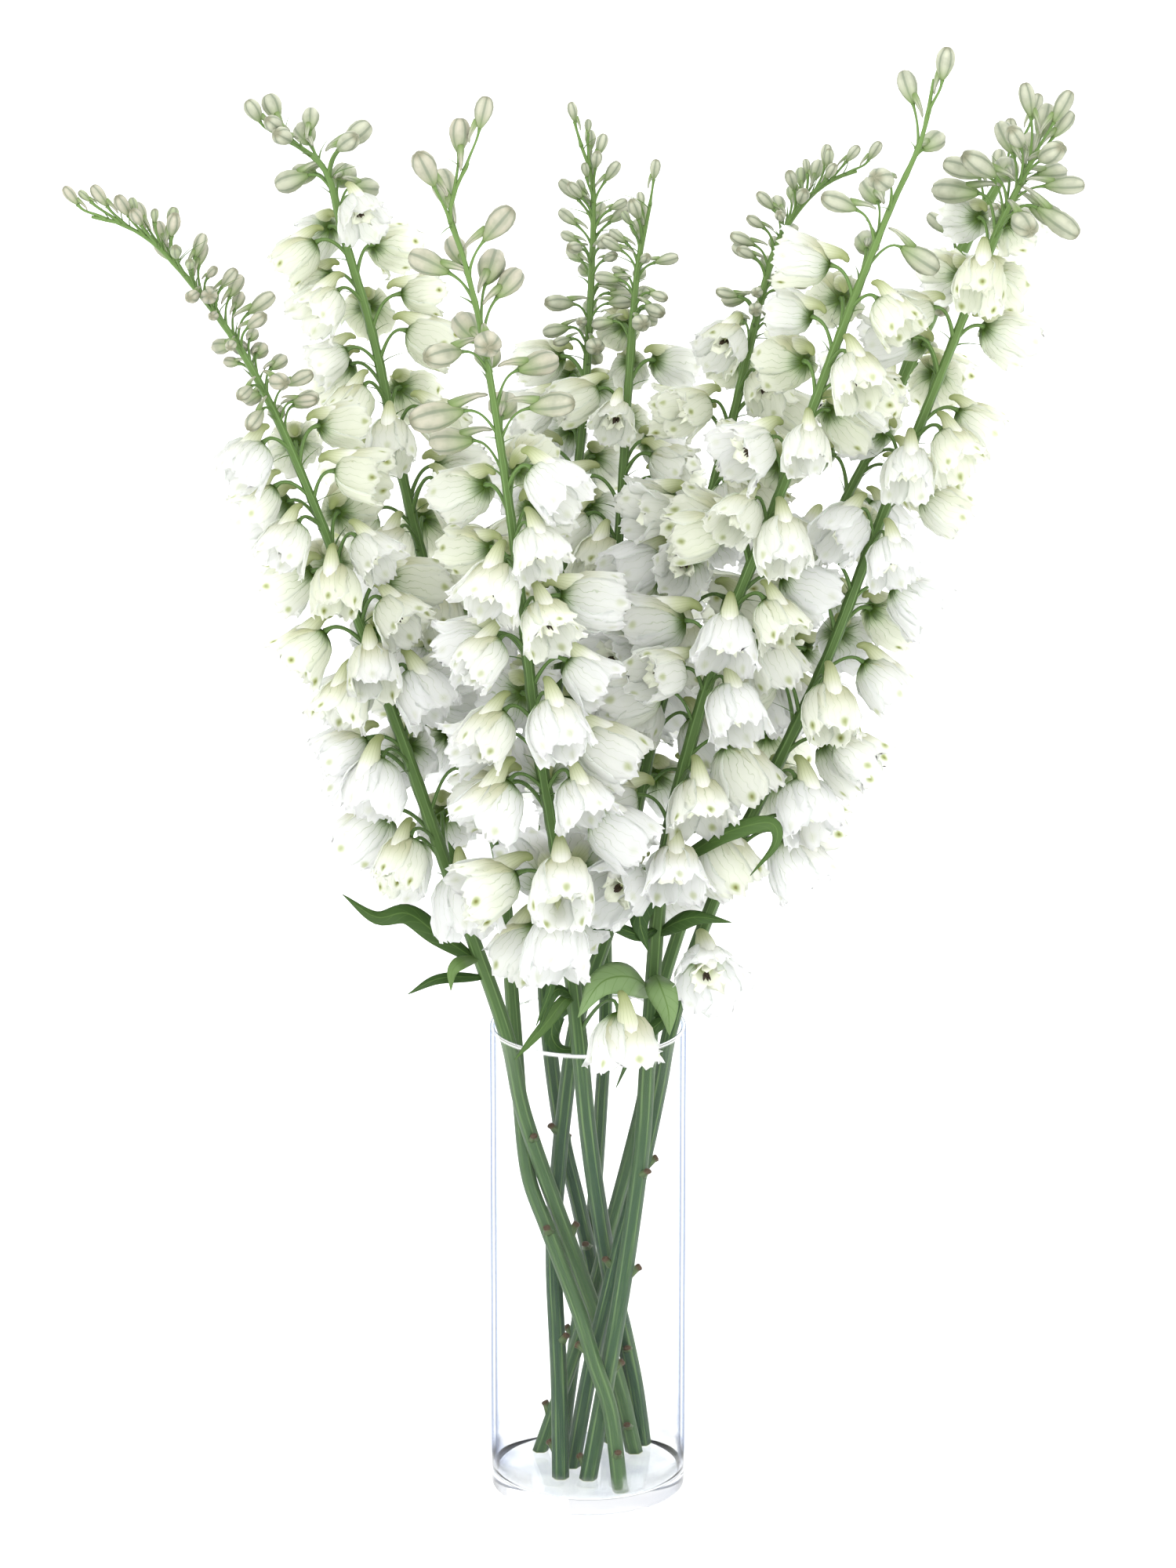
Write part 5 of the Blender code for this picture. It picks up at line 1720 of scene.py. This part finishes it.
# %% [markdown]
# ## Vase
#
# The vase is a turned shape: one profile from the middle of the underside, up the wall, over the
# rounded rim and down to the middle of the thick floor, carried round the axis. The Spin tool
# could turn it too, but whole rings worked out from the profile are closed from the start.

# %% Vase
VASE_SIDES = 160
VASE_EDGE = 1.5
FLOOR_FILLET = 4.0
EDGE_STEPS = 6
RIM_STEPS = 11
FILLET_STEPS = 8
MIDDLE_SHARE = 0.5
FLAT_STEPS = (2.0, 0.5)
WALL_SHARES = np.array([0.002, 0.01, 0.1, 0.3, 0.5, 0.7, 0.9, 0.99, 0.998])[:, None]


def corner(centre, radius, first, last, count):
    """A quarter or half circle in the profile: centre + radius (cos a, sin a), a in degrees."""
    a = np.radians(np.linspace(first, last, count))
    return np.stack([centre[0] + radius * np.cos(a), centre[1] + radius * np.sin(a)], axis=-1)


inner = VASE_RADIUS - VASE_WALL
lip = VASE_WALL / 2
foot_corner = corner((VASE_RADIUS - VASE_EDGE, VASE_EDGE), VASE_EDGE, -90, 0, EDGE_STEPS)
rim_corner = corner((VASE_RADIUS - lip, VASE_HEIGHT - lip), lip, 0, 180, RIM_STEPS)
floor_corner = corner((inner - FLOOR_FILLET, VASE_FLOOR + FLOOR_FILLET), FLOOR_FILLET, 0, -90,
                      FILLET_STEPS)
profile = np.vstack([
    [(MIDDLE_SHARE * inner, 0.0), *((inner - step, 0.0) for step in FLAT_STEPS)], foot_corner,
    foot_corner[-1] + WALL_SHARES * (rim_corner[0] - foot_corner[-1]), rim_corner,
    rim_corner[-1] + WALL_SHARES * (floor_corner[0] - rim_corner[-1]), floor_corner,
    [(inner - FLOOR_FILLET - FLAT_STEPS[1], VASE_FLOOR), (MIDDLE_SHARE * inner, VASE_FLOOR)],
])
turn = np.linspace(0, FULL_TURN, VASE_SIDES, endpoint=False)
rings = np.stack([profile[:, :1] * np.cos(turn), profile[:, :1] * np.sin(turn),
                  np.broadcast_to(profile[:, 1:], (len(profile), VASE_SIDES))], axis=-1)
at = np.arange(rings.shape[0] * VASE_SIDES).reshape(-1, VASE_SIDES)
nxt = np.roll(at, -1, axis=1)
poles = np.full(VASE_SIDES, at.size)
turned = {
    "points": np.vstack([rings.reshape(-1, 3), [(0, 0, 0), (0, 0, VASE_FLOOR)]]),
    "faces": [np.stack([at[:-1], nxt[:-1], nxt[1:], at[1:]], -1).reshape(-1, 4),
              np.vstack([np.stack([nxt[0], at[0], poles], -1), np.stack([at[-1], nxt[-1], poles + 1], -1)])],
    "flat": [np.zeros(at[:-1].size, bool), np.zeros(2 * VASE_SIDES, bool)],
    "uv": np.zeros((at.size + 2, 2)),
    "chance": np.zeros(at.size + 2),
}
make_piece("vase_body", [turned], GLASS, "vase")
